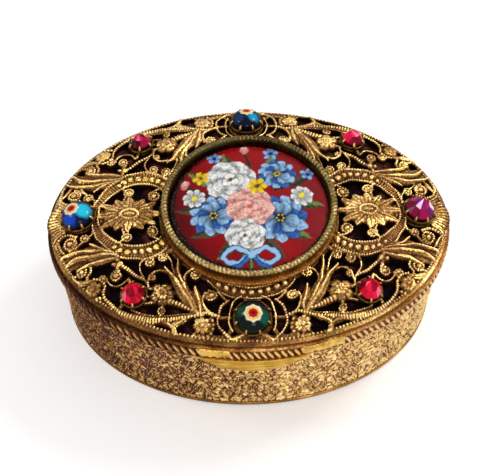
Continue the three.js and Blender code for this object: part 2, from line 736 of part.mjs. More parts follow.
// Both leaves are blocks hollowed to the oval, with knuckles round one axis.
function buildHinge() {
  const leafFace = lidB + LEAF_THICKNESS;
  const axisY = leafFace + KNUCKLE_RADIUS + SEAT_GAP;
  const axisZ = skirtFoot - PARTING_GAP / 2;
  const half = HINGE_LENGTH / 2;
  const pitch = HINGE_LENGTH / KNUCKLE_COUNT;
  const bore = solid(
    rod(PIN_RADIUS + PIN_CLEARANCE, -half - 1, half + 1, axisY, axisZ, 12),
  );
  const leaves = [
    { name: "hinge_leaf_lid", a: lidA, b: lidB, up: 1, first: 1 },
    { name: "hinge_leaf_body", a: bodyA, b: bodyB, up: -1, first: 0 },
  ];
  for (const { name, a, b, up, first } of leaves) {
    const z = [axisZ + up * LEAF_GAP, axisZ + up * (LEAF_GAP + LEAF_HEIGHT)].sort((p, q) => p - q);
    const room = solid(ovalPlate(a + SEAT_GAP, b + SEAT_GAP, 0, HIGH));
    let leaf = solid(block(-half, half, b * 0.9, leafFace, z[0], z[1])).subtract(room);
    for (let i = first; i < KNUCKLE_COUNT; i += 2) {
      const x0 = -half + i * pitch + KNUCKLE_GAP / 2;
      const x1 = x0 + pitch - KNUCKLE_GAP;
      const web = [axisZ + up * 0.3, axisZ + up * (LEAF_GAP + 0.3)].sort((p, q) => p - q);
      leaf = leaf
        .add(solid(rod(KNUCKLE_RADIUS, x0, x1, axisY, axisZ, 12)))
        .add(solid(block(x0, x1, leafFace - LEAF_THICKNESS / 2, axisY, web[0], web[1])));
    }
    addMesh(name, geometryOf(leaf.subtract(bore)), agedBrass);
  }
  const pinEnd = half + PIN_OVERHANG;
  addMesh("hinge_pin", rod(PIN_RADIUS, -pinEnd, pinEnd, axisY, axisZ, 12), agedBrass);
}

buildBody();
buildHinge();
buildLidShell();
buildThumbLip();
buildMedallion();
buildStones();

export default box;
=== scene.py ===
"""Looks of the oval gilt snuff box: cast openwork lid, rope band, embossed wall, enamel, stones.

Lengths are in mm until new_object() turns them into metres. x is to the right, y to the back.
"""

import math

import bpy
import numpy as np
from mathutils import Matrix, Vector


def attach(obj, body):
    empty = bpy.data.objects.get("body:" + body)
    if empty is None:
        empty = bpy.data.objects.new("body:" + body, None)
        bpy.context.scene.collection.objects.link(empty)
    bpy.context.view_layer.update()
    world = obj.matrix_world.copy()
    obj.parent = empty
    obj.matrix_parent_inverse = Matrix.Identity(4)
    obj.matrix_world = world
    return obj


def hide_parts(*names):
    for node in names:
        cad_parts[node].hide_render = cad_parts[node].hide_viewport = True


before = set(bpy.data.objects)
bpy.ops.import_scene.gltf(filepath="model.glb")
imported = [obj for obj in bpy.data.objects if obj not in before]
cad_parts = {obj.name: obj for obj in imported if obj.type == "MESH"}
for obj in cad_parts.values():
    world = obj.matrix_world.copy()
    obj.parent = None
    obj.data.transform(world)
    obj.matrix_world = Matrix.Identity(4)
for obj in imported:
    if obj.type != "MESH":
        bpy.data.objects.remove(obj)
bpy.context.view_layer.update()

MM = 0.001
LID_A, LID_B = 45.0, 33.0
BODY_A, BODY_B = 43.9, 31.9
SKIRT_FOOT, SKIRT_TOP = 23.3, 26.9
PLATE_EDGE, DOME_RISE, DOME_FLAT = 27.9, 2.7, 0.5
BEZEL_FOOT = 30.8
WALL_FOOT, BODY_TOP, LINER_TOP = 0.9, 23.0, 25.2
MIDDLE_STONE_Y, END_STONE_X = 26.9, 38.0
CORNER_STONE_X, CORNER_STONE_Y = 24.85, 20.75


def plate_height(x, y):
    """Height of the lid's openwork sheet: flat in the middle, then falling to the edge."""
    share = np.hypot(x / LID_A, y / LID_B)
    fall = np.clip((share - DOME_FLAT) / (1 - DOME_FLAT), 0, None)
    return PLATE_EDGE + DOME_RISE * (1 - fall**2)


# Meshes


def new_object(name, verts, faces, mat, body, points=None, facets=None, smooth=True, crease=None):
    """An object from points in mm. points and facets give colour, or how worn each point is with its
    painted light, by point or by face.
    """
    groups = [np.asarray(f, np.int32) for f in (faces if isinstance(faces, tuple) else (faces,))]
    groups = [g for g in groups if len(g)]
    corners = np.concatenate([g.ravel() for g in groups])
    totals = np.concatenate([np.full(len(g), g.shape[1], np.int32) for g in groups])
    starts = np.concatenate([[0], np.cumsum(totals)[:-1]]).astype(np.int32)
    mesh = bpy.data.meshes.new(name)
    mesh.vertices.add(len(verts))
    mesh.vertices.foreach_set("co", (np.asarray(verts, float) * MM).ravel())
    mesh.loops.add(len(corners))
    mesh.loops.foreach_set("vertex_index", corners)
    mesh.polygons.add(len(totals))
    mesh.polygons.foreach_set("loop_start", starts)
    mesh.polygons.foreach_set("use_smooth", np.full(len(totals), smooth))
    for domain, layers in (("POINT", points), ("FACE", facets)):
        for key, values in (layers or {}).items():
            values = np.asarray(values, float)
            if values.ndim == 1:
                layer = mesh.attributes.new(key, "FLOAT", domain)
                layer.data.foreach_set("value", values)
            else:
                layer = mesh.attributes.new(key, "FLOAT_COLOR", domain)
                rgba = np.column_stack([values, np.ones(len(values))])
                layer.data.foreach_set("color", rgba.ravel())
    mesh.update(calc_edges=True)
    mesh.validate()
    if crease:
        mesh.set_sharp_from_angle(angle=math.radians(crease))
    obj = bpy.data.objects.new(name, mesh)
    bpy.context.scene.collection.objects.link(obj)
    mesh.materials.append(mat)
    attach(obj, body)
    return obj


def stacked(*grids):
    """A list of points from grids of x, y and z."""
    return np.column_stack([grid.ravel() for grid in grids])


def joined(parts):
    """One list of points and one of four-cornered faces from several (verts, faces) pairs."""
    verts, faces, count = [], [], 0
    for v, f in parts:
        verts.append(np.asarray(v, float))
        faces.append(np.asarray(f) + count)
        count += len(v)
    return np.concatenate(verts), np.concatenate(faces)


def grid_faces(rows, cols, wrap_rows, wrap_cols):
    """Four-cornered faces of a grid of points, which may close on itself either way."""
    i = np.arange(rows if wrap_rows else rows - 1)
    j = np.arange(cols if wrap_cols else cols - 1)
    I, J = np.meshgrid(i, j, indexing="ij")
    I2, J2 = (I + 1) % rows, (J + 1) % cols
    return np.stack([I * cols + J, I2 * cols + J, I2 * cols + J2, I * cols + J2], -1).reshape(-1, 4)


def cap(count):
    """Four-cornered faces across a ring of count points."""
    return np.array([(k, k + 1, count - 2 - k, count - 1 - k) for k in range(count // 2 - 1)])


def end_caps(count, cols):
    """Faces that close the first and the last ring of a shape of count rows that goes all round."""
    strips = cap(count)
    return np.concatenate([strips[:, ::-1] * cols, strips * cols + cols - 1])


def finished(obj, slot, *nodes):
    """Hides the nodes that a piece stands for. slot is not used."""
    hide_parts(*nodes)
    return obj


# Noise, cross-sections and curves


def rising(x, start, end):
    """0 up to start and 1 from end on, rising evenly between them. end may be the lower one."""
    return np.clip((x - start) / (end - start), 0, 1)


def rounded(x, middle=0.0, half=1.0):
    """The height across a half-round bead: 1 in its middle and 0 from half away."""
    return np.clip(1 - ((x - middle) / half) ** 2, 0, 1) ** 0.5


def on_circle(centre, radius, angle):
    return centre[0] + radius * math.cos(angle), centre[1] + radius * math.sin(angle)


def blur(field, rounds):
    """A smooth version of a grid, by repeated averages of neighbours."""
    out = field.copy()
    for _ in range(rounds):
        for axis in (0, 1):
            last = out.shape[axis] - 1
            before = np.concatenate([out.take([0], axis), out.take(range(last), axis)], axis)
            after = np.concatenate([out.take(range(1, last + 1), axis), out.take([last], axis)], axis)
            out = 0.25 * before + 0.5 * out + 0.25 * after
    return out


def noise(x, y, size, seed):
    """Soft noise from about -1 to 1, made of a few waves with fixed seeds."""
    rng = np.random.default_rng(seed)
    total = np.zeros_like(np.asarray(x, float))
    for _ in range(9):
        angle, phase = rng.uniform(0, 2 * np.pi, 2)
        k = 2 * np.pi / (size * rng.uniform(0.6, 1.7))
        total = total + np.sin(k * (x * np.cos(angle) + y * np.sin(angle)) + phase)
    return total / 4.2


def curve(points, step=0.3):
    """Points along a smooth curve through the given ones."""
    p = np.asarray(points, float)
    if len(p) == 2:
        n = max(2, int(np.hypot(*(p[1] - p[0])) / step) + 1)
        return p[0] + (p[1] - p[0]) * np.linspace(0, 1, n)[:, None]
    q = np.concatenate([2 * p[:1] - p[1:2], p, 2 * p[-1:] - p[-2:-1]])
    out = []
    for a, b, c, d in zip(q[:-3], q[1:-2], q[2:-1], q[3:]):
        n = max(2, int(np.hypot(*(c - b)) / step) + 1)
        t = np.linspace(0, 1, n, endpoint=False)[:, None]
        bend = (2 * a - 5 * b + 4 * c - d) * t**2 + (3 * b - a - 3 * c + d) * t**3
        out.append(0.5 * (2 * b + (c - a) * t + bend))
    out.append(q[-2:-1])
    return np.concatenate(out)


def nearest(U, V, line):
    """For each point: distance to the line, length along it, its total length and the side."""
    a, b = line[:-1], line[1:]
    d = b - a
    length = np.maximum(np.hypot(d[:, 0], d[:, 1]), 1e-9)
    before = np.concatenate([[0], np.cumsum(length)[:-1]])
    best = np.full(U.shape, 1e9)
    along = np.zeros(U.shape)
    side = np.zeros(U.shape)
    for k in range(len(a)):
        x, y = U - a[k, 0], V - a[k, 1]
        t = np.clip((x * d[k, 0] + y * d[k, 1]) / length[k] ** 2, 0, 1)
        dist = np.hypot(x - t * d[k, 0], y - t * d[k, 1])
        closer = dist < best
        best = np.where(closer, dist, best)
        along = np.where(closer, before[k] + t * length[k], along)
        side = np.where(closer, d[k, 0] * y - d[k, 1] * x, side)
    return best, along, length.sum(), side


def turned_axes(dx, dy, angle):
    """Distances along and across a direction, from those along x and y."""
    c, s = math.cos(angle), math.sin(angle)
    return dx * c + dy * s, dy * c - dx * s


# Relief drawn on a grid

# Pitch and depth of the usual milling; width, foot and crest of the thinnest wires
MILLED = (0.6, 0.3)
FINE_WIRE = (0.5, 0.2, 0.75)

# Half sizes of the rosette's dished middle, of its eye and of the ring of beads between them
DISH, EYE, EYE_BEADS = (2.35, 1.6), (1.35, 0.66), (2.02, 1.3)


class Relief:
    """Heights above a sheet and the distance to its outline, on a regular grid in mm."""

    def __init__(self, width, height, step, wrap=0.0):
        self.step = step
        self.shifts = (-wrap, 0.0, wrap) if wrap else (0.0,)
        self.u = np.arange(0, width + step / 2, step)
        self.v = np.arange(0, height + step / 2, step)
        self.U, self.V = np.meshgrid(self.u, self.v, indexing="ij")
        self.H = np.full(self.U.shape, -9.0)
        self.SD = np.full(self.U.shape, 9.0)

    def windows(self, low, high, margin):
        """The part of the grid near a box, and its points, once for each repeat."""
        margin += self.step
        for shift in self.shifts:
            i0 = max(0, int((low[0] + shift - margin) / self.step))
            i1 = min(len(self.u), int((high[0] + shift + margin) / self.step) + 2)
            j0 = max(0, int((low[1] - margin) / self.step))
            j1 = min(len(self.v), int((high[1] + margin) / self.step) + 2)
            if i1 > i0 and j1 > j0:
                where = slice(i0, i1), slice(j0, j1)
                yield where, self.U[where] - shift, self.V[where]

    def put(self, where, heights, distance, cut=True):
        """Keeps the higher of the old and the new heights inside the new outline."""
        old = self.H[where]
        self.H[where] = np.where(distance < 2 * self.step, np.maximum(old, heights), old)
        if cut:
            self.SD[where] = np.minimum(self.SD[where], distance)

    def strand(self, points, width, low=0.15, high=0.85, mill=None, taper=None, flat=0.0):
        """A half-round wire along a curve. mill is (pitch, depth); taper is its widths along it."""
        line = curve(points)
        reach = width * max(taper or (1,))
        for where, U, V in self.windows(line.min(0), line.max(0), reach):
            distance, along, total, _ = nearest(U, V, line)
            half = width / 2
            if taper is not None:
                half = half * np.interp(along / total, np.linspace(0, 1, len(taper)), taper)
            t = np.clip(distance / np.maximum(half, 1e-3), 0, 1)
            crown = rounded(rising(t, flat, 1))
            heights = low + (high - low) * crown
            if mill:
                count = max(1, round(total / mill[0]))
                wave = 0.5 - 0.5 * np.cos(2 * np.pi * along * count / total)
                heights = heights - mill[1] * wave**2 * crown
            self.put(where, heights, distance - half)

    def leaf(
        self, points, width, low=0.1, high=0.9, ribs=3, lobes=0, tip=0.35, groove=0.26, point=0.0
    ):
        """An acanthus blade along a curve, with ribs along it, or one vein and slanted ones if there
        are none, and an end that lifts. lobes notches its edge; point is how sharp its end is."""
        line = curve(points)
        for where, U, V in self.windows(line.min(0), line.max(0), width):
            distance, along, total, side = nearest(U, V, line)
            t = np.clip(along / total, 0, 1)
            half = width / 2 * (0.22 + 0.78 * np.sin(np.pi * (0.14 + 0.8 * t)) ** 0.8)
            half = half * (1 - point * t**3)
            if lobes:
                half = half * (1 - 0.34 * (1 - (t * lobes) % 1))
            across = np.clip(distance / np.maximum(half, 1e-3), 0, 1)
            rib = 0.5 + 0.5 * np.cos(np.pi * ribs * across * np.where(side > 0, 1.0, 0.92))
            if not ribs:
                veins = 0.5 + 0.5 * np.cos(2 * np.pi * (along - distance) / 0.85)
                rib = 1 - np.exp(-((distance / 0.14) ** 2)) - 0.35 * across * veins
            crown = np.clip(1 - across**2.4, 0, 1) ** 0.5
            swell = 0.62 + 0.38 * np.sin(np.pi * (0.15 + 0.7 * t))
            heights = low + (high - low) * crown * swell - groove * (1 - rib) * crown + tip * t**4
            self.put(where, heights, distance - half)

    def ball(self, centre, radius, low=0.15, squash=1.0, cut=True):
        """A dome; without cut it only stands on what is there."""
        for where, U, V in self.windows(centre, centre, radius):
            distance = np.hypot(U - centre[0], V - centre[1])
            dome = low + squash * radius * rounded(distance, 0, radius)
            self.put(where, dome, distance - radius, cut)

    def disc(self, centre, radius, height):
        """A flat round."""
        for where, U, V in self.windows(centre, centre, radius):
            distance = np.hypot(U - centre[0], V - centre[1])
            self.put(where, np.full_like(distance, height), distance - radius)

    def balls_along(self, points, radius, pitch, low=0.3, squash=0.85, taper=(1, 1)):
        """A row of balls at about an even pitch along a curve."""
        line = curve(points)
        along = np.concatenate([[0], np.cumsum(np.hypot(*np.diff(line, axis=0).T))])
        count = max(1, round(along[-1] / pitch))
        for k in range(count + 1):
            s = along[-1] * k / count
            centre = np.interp(s, along, line[:, 0]), np.interp(s, along, line[:, 1])
            size = radius * np.interp(k / count, np.linspace(0, 1, len(taper)), taper)
            self.ball(centre, size, low, squash)

    def volute(self, centre, radius, wire=0.62, start=0.0, turn=1.2, way=1, ball=0.42, tail=()):
        """A milled wire that winds in round a ball, on a low web, after an optional tail."""
        self.disc(centre, radius * 0.9, 0.1)
        k = np.linspace(0, 1, 26)
        angle = math.radians(start) + way * 2 * np.pi * turn * k
        r = (radius - wire / 2) * (1 - 0.38 * k)
        spiral = [on_circle(centre, *turn_of_wire) for turn_of_wire in zip(r, angle)]
        self.strand(list(tail) + spiral, wire, 0.15, 0.85, MILLED)
        self.ball(centre, radius * ball, 0.35, 1.0)

    def flower(self, centre, radius, petals, turn=0.0, high=0.95, heart=0.26):
        """Rounded petals with a crease down each, round a beaded heart."""
        for where, U, V in self.windows(centre, centre, radius):
            x, y = U - centre[0], V - centre[1]
            r = np.hypot(x, y)
            angle = np.arctan2(y, x) - math.radians(turn)
            fold, gap = np.sin(petals * angle / 2), np.cos(petals * angle / 2)
            edge = radius * (0.76 + 0.24 * np.abs(gap) ** 0.5)
            t = np.clip(r / edge, 0, 1)
            crease = 1 - 0.18 * np.exp(-((fold / 0.14) ** 2)) * (t > 0.3)
            split = 1 - 0.55 * np.exp(-((gap / 0.16) ** 2)) * np.clip(t * 1.6 - 0.3, 0, 1)
            bowl = 0.55 + 0.45 * np.sin(np.pi * np.clip(t * 0.95, 0, 1)) ** 0.8
            rise = bowl * crease * split * np.clip(1.25 - 0.75 * t**3, 0, 1)
            self.put(where, 0.12 + (high - 0.12) * rise, r - edge)
        if heart:
            ring = radius * heart
            self.ball(centre, ring * 0.8, high * 0.72, 0.7, cut=False)
            for k in range(7):
                spot = on_circle(centre, ring, 2 * np.pi * k / 7)
                self.ball(spot, ring * 0.42, high * 0.72, 0.9, cut=False)

    def rosette(self, centre, leaves, a, b):
        """Notched leaves of (angle, length) round a body of radii a and b, with a beaded eye."""
        middle = np.array(centre, float)
        for where, U, V in self.windows(middle, middle, a):
            rho = np.hypot((U - middle[0]) / a, (V - middle[1]) / b)
            self.put(where, 0.4 + 0.25 * np.clip(1 - rho**2, 0, 1), (rho - 1) * b)
        for k, (angle, length) in enumerate(leaves):
            turn = math.radians(angle)
            line = [on_circle(middle, length * share, turn) for share in (0.25, 0.62, 1.0)]
            width, high = (3.4, 1.0) if 2 * k < len(leaves) else (2.2, 0.72)
            self.leaf(line, width, 0.25, high, 0, 3, 0.1, 0.24, 0.2)
        for where, U, V in self.windows(middle, middle, 2.6):
            x, y = U - middle[0], V - middle[1]
            inside = np.hypot(x / DISH[0], y / DISH[1]) < 1
            dish = 0.84 + 0.34 * rounded(np.hypot(x / EYE[0], y / EYE[1]))
            self.H[where] = np.where(inside, dish, self.H[where])
        for k in range(24):
            angle = 2 * np.pi * k / 24
            around = np.array([math.cos(angle), math.sin(angle)])
            self.ball(middle + EYE_BEADS * around, 0.25, 0.95, 1.2, cut=False)


def sheet_mesh(X, Y, H, SD, step, place, depth):
    """A closed sheet for the part of a grid inside its outline, with the edge moved onto the
    outline and the underside at -depth. place(x, y, h) gives the points."""
    gx, gy = np.gradient(SD, step)
    slope = np.maximum(np.hypot(gx, gy), 0.3)
    close = np.abs(SD) < 0.5 * step
    X = np.where(close, X - SD * gx / slope**2, X)
    Y = np.where(close, Y - SD * gy / slope**2, Y)
    inside = (SD <= 0) | close
    index = np.full(SD.shape, -1)
    index[inside] = np.arange(inside.sum())
    c = [index[:-1, :-1], index[1:, :-1], index[1:, 1:], index[:-1, 1:]]
    have = [k >= 0 for k in c]
    full = have[0] & have[1] & have[2] & have[3]
    quads = np.stack([k[full] for k in c], 1)
    tris = []
    for miss in range(4):
        keep = [k for k in range(4) if k != miss]
        three = ~have[miss] & have[keep[0]] & have[keep[1]] & have[keep[2]]
        tris.append(np.stack([c[k][three] for k in keep], 1))
    tris = np.concatenate(tris)
    top = place(X[inside], Y[inside], H[inside])
    sides = [quads[:, [k, (k + 1) % 4]] for k in range(4)]
    edges = np.concatenate(sides + [tris[:, [k, (k + 1) % 3]] for k in range(3)]).astype(np.int64)
    rim = edges[~np.isin(edges[:, 0] * len(top) + edges[:, 1], edges[:, 1] * len(top) + edges[:, 0])]
    low = place(X[inside], Y[inside], np.full(len(top), -depth))
    walls = np.concatenate([rim[:, ::-1], rim + len(top)], 1)
    quads = np.concatenate([quads, walls, quads[:, ::-1] + len(top)])
    tris = np.concatenate([tris, tris[:, ::-1] + len(top)])
    return np.concatenate([top, low]), (quads, tris), inside, np.unique(rim)


# Materials


def srgb(r, g, b):
    """A colour seen as 0 to 255 on a screen, as the linear values that a shader takes."""
    return tuple(((c / 255 + 0.055) / 1.055) ** 2.4 if c > 10 else c / 255 / 12.92 for c in (r, g, b))


class Nodes:
    """Short calls for the nodes of a material or of the world."""

    def __init__(self, tree):
        self.nodes, self.links = tree.nodes, tree.links

    def plug(self, socket, value):
        """Links a node's output to a socket, or sets the socket to a plain value."""
        if isinstance(value, bpy.types.NodeSocket):
            self.links.new(value, socket)
        elif isinstance(value, tuple) and len(value) == 3 and socket.type == "RGBA":
            socket.default_value = (*value, 1)
        else:
            socket.default_value = value

    def math(self, operation, *values, clamp=False):
        node = self.nodes.new("ShaderNodeMath")
        node.operation = operation
        node.use_clamp = clamp
        for socket, value in zip(node.inputs, values):
            self.plug(socket, value)
        return node.outputs[0]


class Shader(Nodes):
    """One material, with a principled shader."""

    def __init__(self, name):
        self.mat = bpy.data.materials.new(name)
        self.mat.use_nodes = True
        super().__init__(self.mat.node_tree)
        self.main = self.nodes["Principled BSDF"]

    def set(self, **values):
        for key, value in values.items():
            self.plug(self.main.inputs[key.replace("_", " ")], value)

    def noise(self, scale, detail=4.0, roughness=0.6, stretch=(1, 1, 1)):
        coords = self.nodes.new("ShaderNodeTexCoord")
        mapping = self.nodes.new("ShaderNodeMapping")
        mapping.inputs["Scale"].default_value = stretch
        node = self.nodes.new("ShaderNodeTexNoise")
        node.inputs["Scale"].default_value = scale
        node.inputs["Detail"].default_value = detail
        node.inputs["Roughness"].default_value = roughness
        self.links.new(coords.outputs["Object"], mapping.inputs["Vector"])
        self.links.new(mapping.outputs["Vector"], node.inputs["Vector"])
        return node.outputs["Fac"]

    def attribute(self, name, output="Fac"):
        node = self.nodes.new("ShaderNodeAttribute")
        node.attribute_name = name
        return node.outputs[output]

    def ramp(self, source, stops):
        node = self.nodes.new("ShaderNodeValToRGB")
        elements = node.color_ramp.elements
        while len(elements) < len(stops):
            elements.new(0.5)
        for element, (position, colour) in zip(elements, stops):
            element.position = position
            element.color = (*(colour if isinstance(colour, tuple) else (colour,) * 3), 1)
        self.links.new(source, node.inputs["Fac"])
        return node.outputs["Color"]

    def mix(self, factor, a, b, blend="MIX"):
        node = self.nodes.new("ShaderNodeMix")
        node.data_type = "RGBA"
        node.blend_type = blend
        self.plug(node.inputs["Factor"], factor)
        self.plug(node.inputs[6], a)
        self.plug(node.inputs[7], b)
        return node.outputs[2]

    def bump(self, height, strength, distance):
        node = self.nodes.new("ShaderNodeBump")
        node.inputs["Strength"].default_value = strength
        node.inputs["Distance"].default_value = distance
        self.links.new(height, node.inputs["Height"])
        self.links.new(node.outputs["Normal"], self.main.inputs["Normal"])


RED_CAST, YELLOW_CAST = (1.0, 0.81, 0.66), (1.0, 0.98, 0.64)


def antique_metal(name, dark, middle, bright, rough=(0.3, 0.62), tint=None, grain=1.0):
    """Gilt brass: the point attribute for how worn a place is, which on several pieces also carries
    painted light and painted shade, runs from 0, tarnish in the hollows, to 1, bare rubbed gold, and 1.5
    is yellow burnished gold."""
    s = Shader(name)
    patches = s.noise(170.0, 5.0, 0.62)
    fine = s.noise(2300.0, 3.0, 0.75)
    level = s.math("MULTIPLY_ADD", patches, 0.5, -0.25)
    level = s.math("ADD", level, s.attribute("wear_and_painted_light"))
    specks = s.math("MULTIPLY_ADD", fine, 1.1 * grain, -0.55 * grain)
    level = s.math("ADD", level, specks, clamp=True)
    deep = tuple(0.7 * d + 0.3 * m for d, m in zip(dark, middle))
    colour = s.ramp(level, [(0.0, dark), (0.26, deep), (0.52, middle), (0.88, bright)])
    casts = [(0.36, RED_CAST), (0.49, 1.0), (0.62, YELLOW_CAST)]
    colour = s.mix(1.0, colour, s.ramp(s.noise(620.0, 4.0, 0.65), casts), "MULTIPLY")
    gold = s.ramp(s.noise(380.0, 4.0, 0.7), [(0.34, srgb(132, 88, 26)), (0.6, srgb(252, 208, 92))])
    colour = s.mix(s.math("MULTIPLY_ADD", s.attribute("wear_and_painted_light"), 2.0, -2.0, clamp=True), colour, gold)
    if tint:
        amount = s.math("MULTIPLY_ADD", s.noise(60.0, 4.0, 0.55), 3.2, -1.35, clamp=True)
        low = s.math("SUBTRACT", 0.8, level, clamp=True)
        colour = s.mix(s.math("MULTIPLY", amount, low), colour, tint)
    s.set(Base_Color=colour, Roughness=s.ramp(level, [(0.0, rough[1]), (1.0, rough[0])]), Metallic=1.0)
    s.bump(s.math("ADD", fine, patches), 0.5 * grain, 0.00014)
    return s.mat


def scratched_gold():
    """The smooth thumb lip: rubbed gold with fine scratches along the box."""
    s = Shader("rubbed_gold")
    scratches = s.noise(900.0, 4.0, 0.75, (0.12, 1, 3))
    patches = s.noise(260.0, 4.0, 0.6)
    level = s.math("ADD", s.math("MULTIPLY", scratches, 0.7), s.math("MULTIPLY", patches, 0.6))
    stops = [(0.42, srgb(136, 94, 36)), (0.6, srgb(186, 140, 54)), (0.8, srgb(230, 190, 94))]
    s.set(Base_Color=s.ramp(level, stops), Metallic=1.0)
    s.set(Roughness=s.ramp(level, [(0.4, 0.52), (0.8, 0.3)]))
    s.bump(scratches, 0.4, 0.00006)
    return s.mat


def backing_material():
    """The sheet behind the openwork: near black, with brown where dirt and worn places show."""
    s = Shader("dark_backing")
    patches = s.math("ADD", s.noise(240.0, 4.0, 0.6), s.math("MULTIPLY", s.attribute("wear_and_painted_light"), 0.2))
    fine = s.noise(1900.0, 3.0, 0.6)
    stops = [(0.44, srgb(6, 1, 3)), (0.54, srgb(22, 6, 12)), (0.62, srgb(66, 24, 22))]
    stops += [(0.72, srgb(104, 66, 52))]
    s.set(Base_Color=s.ramp(patches, stops), Specular_IOR_Level=0.05)
    s.set(Roughness=s.ramp(fine, [(0.3, 0.6), (0.8, 0.85)]))
    s.bump(fine, 0.4, 0.0001)
    return s.mat


def velvet_material():
    s = Shader("crimson_velvet")
    nap = s.noise(4200.0, 3.0, 0.75)
    brushed = s.noise(210.0, 4.0, 0.55, (1, 0.5, 1))
    level = s.math("ADD", s.math("MULTIPLY", nap, 0.6), s.math("MULTIPLY", brushed, 0.45))
    stops = [(0.35, srgb(44, 6, 16)), (0.55, srgb(88, 14, 30)), (0.75, srgb(132, 32, 50))]
    s.set(Base_Color=s.ramp(level, stops), Roughness=s.ramp(nap, [(0.2, 0.8), (0.8, 0.98)]))
    s.set(Sheen_Weight=0.7, Sheen_Roughness=0.35, Sheen_Tint=(0.9, 0.45, 0.5))
    s.bump(s.math("ADD", nap, brushed), 0.5, 0.0003)
    return s.mat


def card_material():
    s = Shader("packing_card")
    fibres = s.noise(1500.0, 5.0, 0.7, (1, 0.3, 1))
    s.set(Base_Color=s.ramp(fibres, [(0.3, srgb(96, 78, 58)), (0.7, srgb(142, 122, 94))]))
    s.set(Roughness=s.ramp(fibres, [(0.2, 0.85), (0.8, 0.97)]))
    s.bump(fibres, 0.4, 0.0001)
    return s.mat


def enamel_material():
    """Glossy painted enamel: the painting is on the points, with small pits and crazing."""
    s = Shader("painted_enamel")
    strokes = s.noise(800.0, 4.0, 0.65)
    cracks = s.noise(130.0, 3.0, 0.5)
    darker = s.ramp(strokes, [(0.2, 0.78), (0.75, 1.0)])
    s.set(Base_Color=s.mix(1.0, s.attribute("paint", "Color"), darker, "MULTIPLY"))
    s.set(Roughness=s.ramp(strokes, [(0.3, 0.16), (0.8, 0.3)]), Specular_IOR_Level=0.05)
    s.set(Coat_Weight=0.08, Coat_Roughness=0.06)
    s.bump(s.math("ADD", strokes, cracks), 0.15, 0.00008)
    return s.mat


def glass_material(name, rough, shine):
    """Coloured glass over foil: the colour, with some painted light and painted highlights, is on the
    piece, with small bubbles in it.
    """
    s = Shader(name)
    bubbles = s.noise(1500.0, 2.0, 0.5)
    swirl = s.noise(420.0, 3.0, 0.6)
    darker = s.ramp(swirl, [(0.3, 0.72), (0.7, 1.0)])
    s.set(Base_Color=s.mix(1.0, s.attribute("paint", "Color"), darker, "MULTIPLY"))
    s.set(Roughness=s.ramp(bubbles, [(0.3, rough), (0.8, rough + 0.12)]))
    s.set(Specular_IOR_Level=shine, Coat_Weight=shine, Coat_Roughness=0.02)
    return s.mat


openwork_metal = antique_metal(
    "openwork_gilt", srgb(24, 8, 2), srgb(166, 124, 70), srgb(255, 224, 164), tint=srgb(112, 66, 44),
)
band_metal = antique_metal(
    "band_gilt", srgb(34, 10, 3), srgb(146, 92, 42), srgb(250, 208, 140), (0.26, 0.5),
)
wall_metal = antique_metal(
    "wall_gilt", srgb(58, 26, 12), srgb(190, 142, 84), srgb(255, 224, 164), (0.34, 0.58),
    tint=srgb(116, 68, 66),
)
bezel_metal = antique_metal(
    "bezel_gilt", srgb(30, 20, 8), srgb(136, 114, 68), srgb(222, 198, 144), (0.36, 0.62),
    tint=srgb(96, 98, 64),
)
bezel_side_metal = antique_metal(
    "bezel_side_gilt", srgb(34, 8, 2), srgb(136, 84, 34), srgb(214, 168, 96), (0.34, 0.6),
)
plain_metal = antique_metal(
    "plain_gilt", srgb(84, 50, 22), srgb(168, 122, 56), srgb(226, 182, 98), (0.26, 0.45), grain=0.6,
)
setting_metal = antique_metal(
    "setting_gilt", srgb(30, 14, 5), srgb(140, 102, 52), srgb(250, 214, 140), (0.24, 0.5), grain=0.7,
)
hinge_metal = antique_metal(
    "hinge_brass", srgb(58, 34, 16), srgb(146, 104, 54), srgb(210, 164, 92), (0.34, 0.6),
    tint=srgb(96, 64, 48), grain=0.7,
)
lip_metal = scratched_gold()
dark_backing = backing_material()
velvet = velvet_material()
enamel = enamel_material()
cabochon_glass = glass_material("cabochon_glass", 0.06, 0.07)
cut_glass = glass_material("cut_glass", 0.03, 0.07)


# The lid's openwork, drawn on one quarter and mirrored


def edge_distance(x, y):
    """Distance in from the lid's outline, near enough close to it."""
    share = np.maximum(np.hypot(x / LID_A, y / LID_B), 1e-6)
    slope = np.hypot(x / LID_A**2, y / LID_B**2) / share
    return (1 - share) / np.maximum(slope, 1e-6)


ROSETTE_LEAVES = (
    (0, 7.2), (26, 6.5), (53, 5.1), (90, 4.5), (127, 5.1), (154, 6.2), (180, 6.8),
    (13, 5.4), (39, 4.7), (71, 3.9), (109, 3.9), (141, 4.6), (167, 5.4),
)


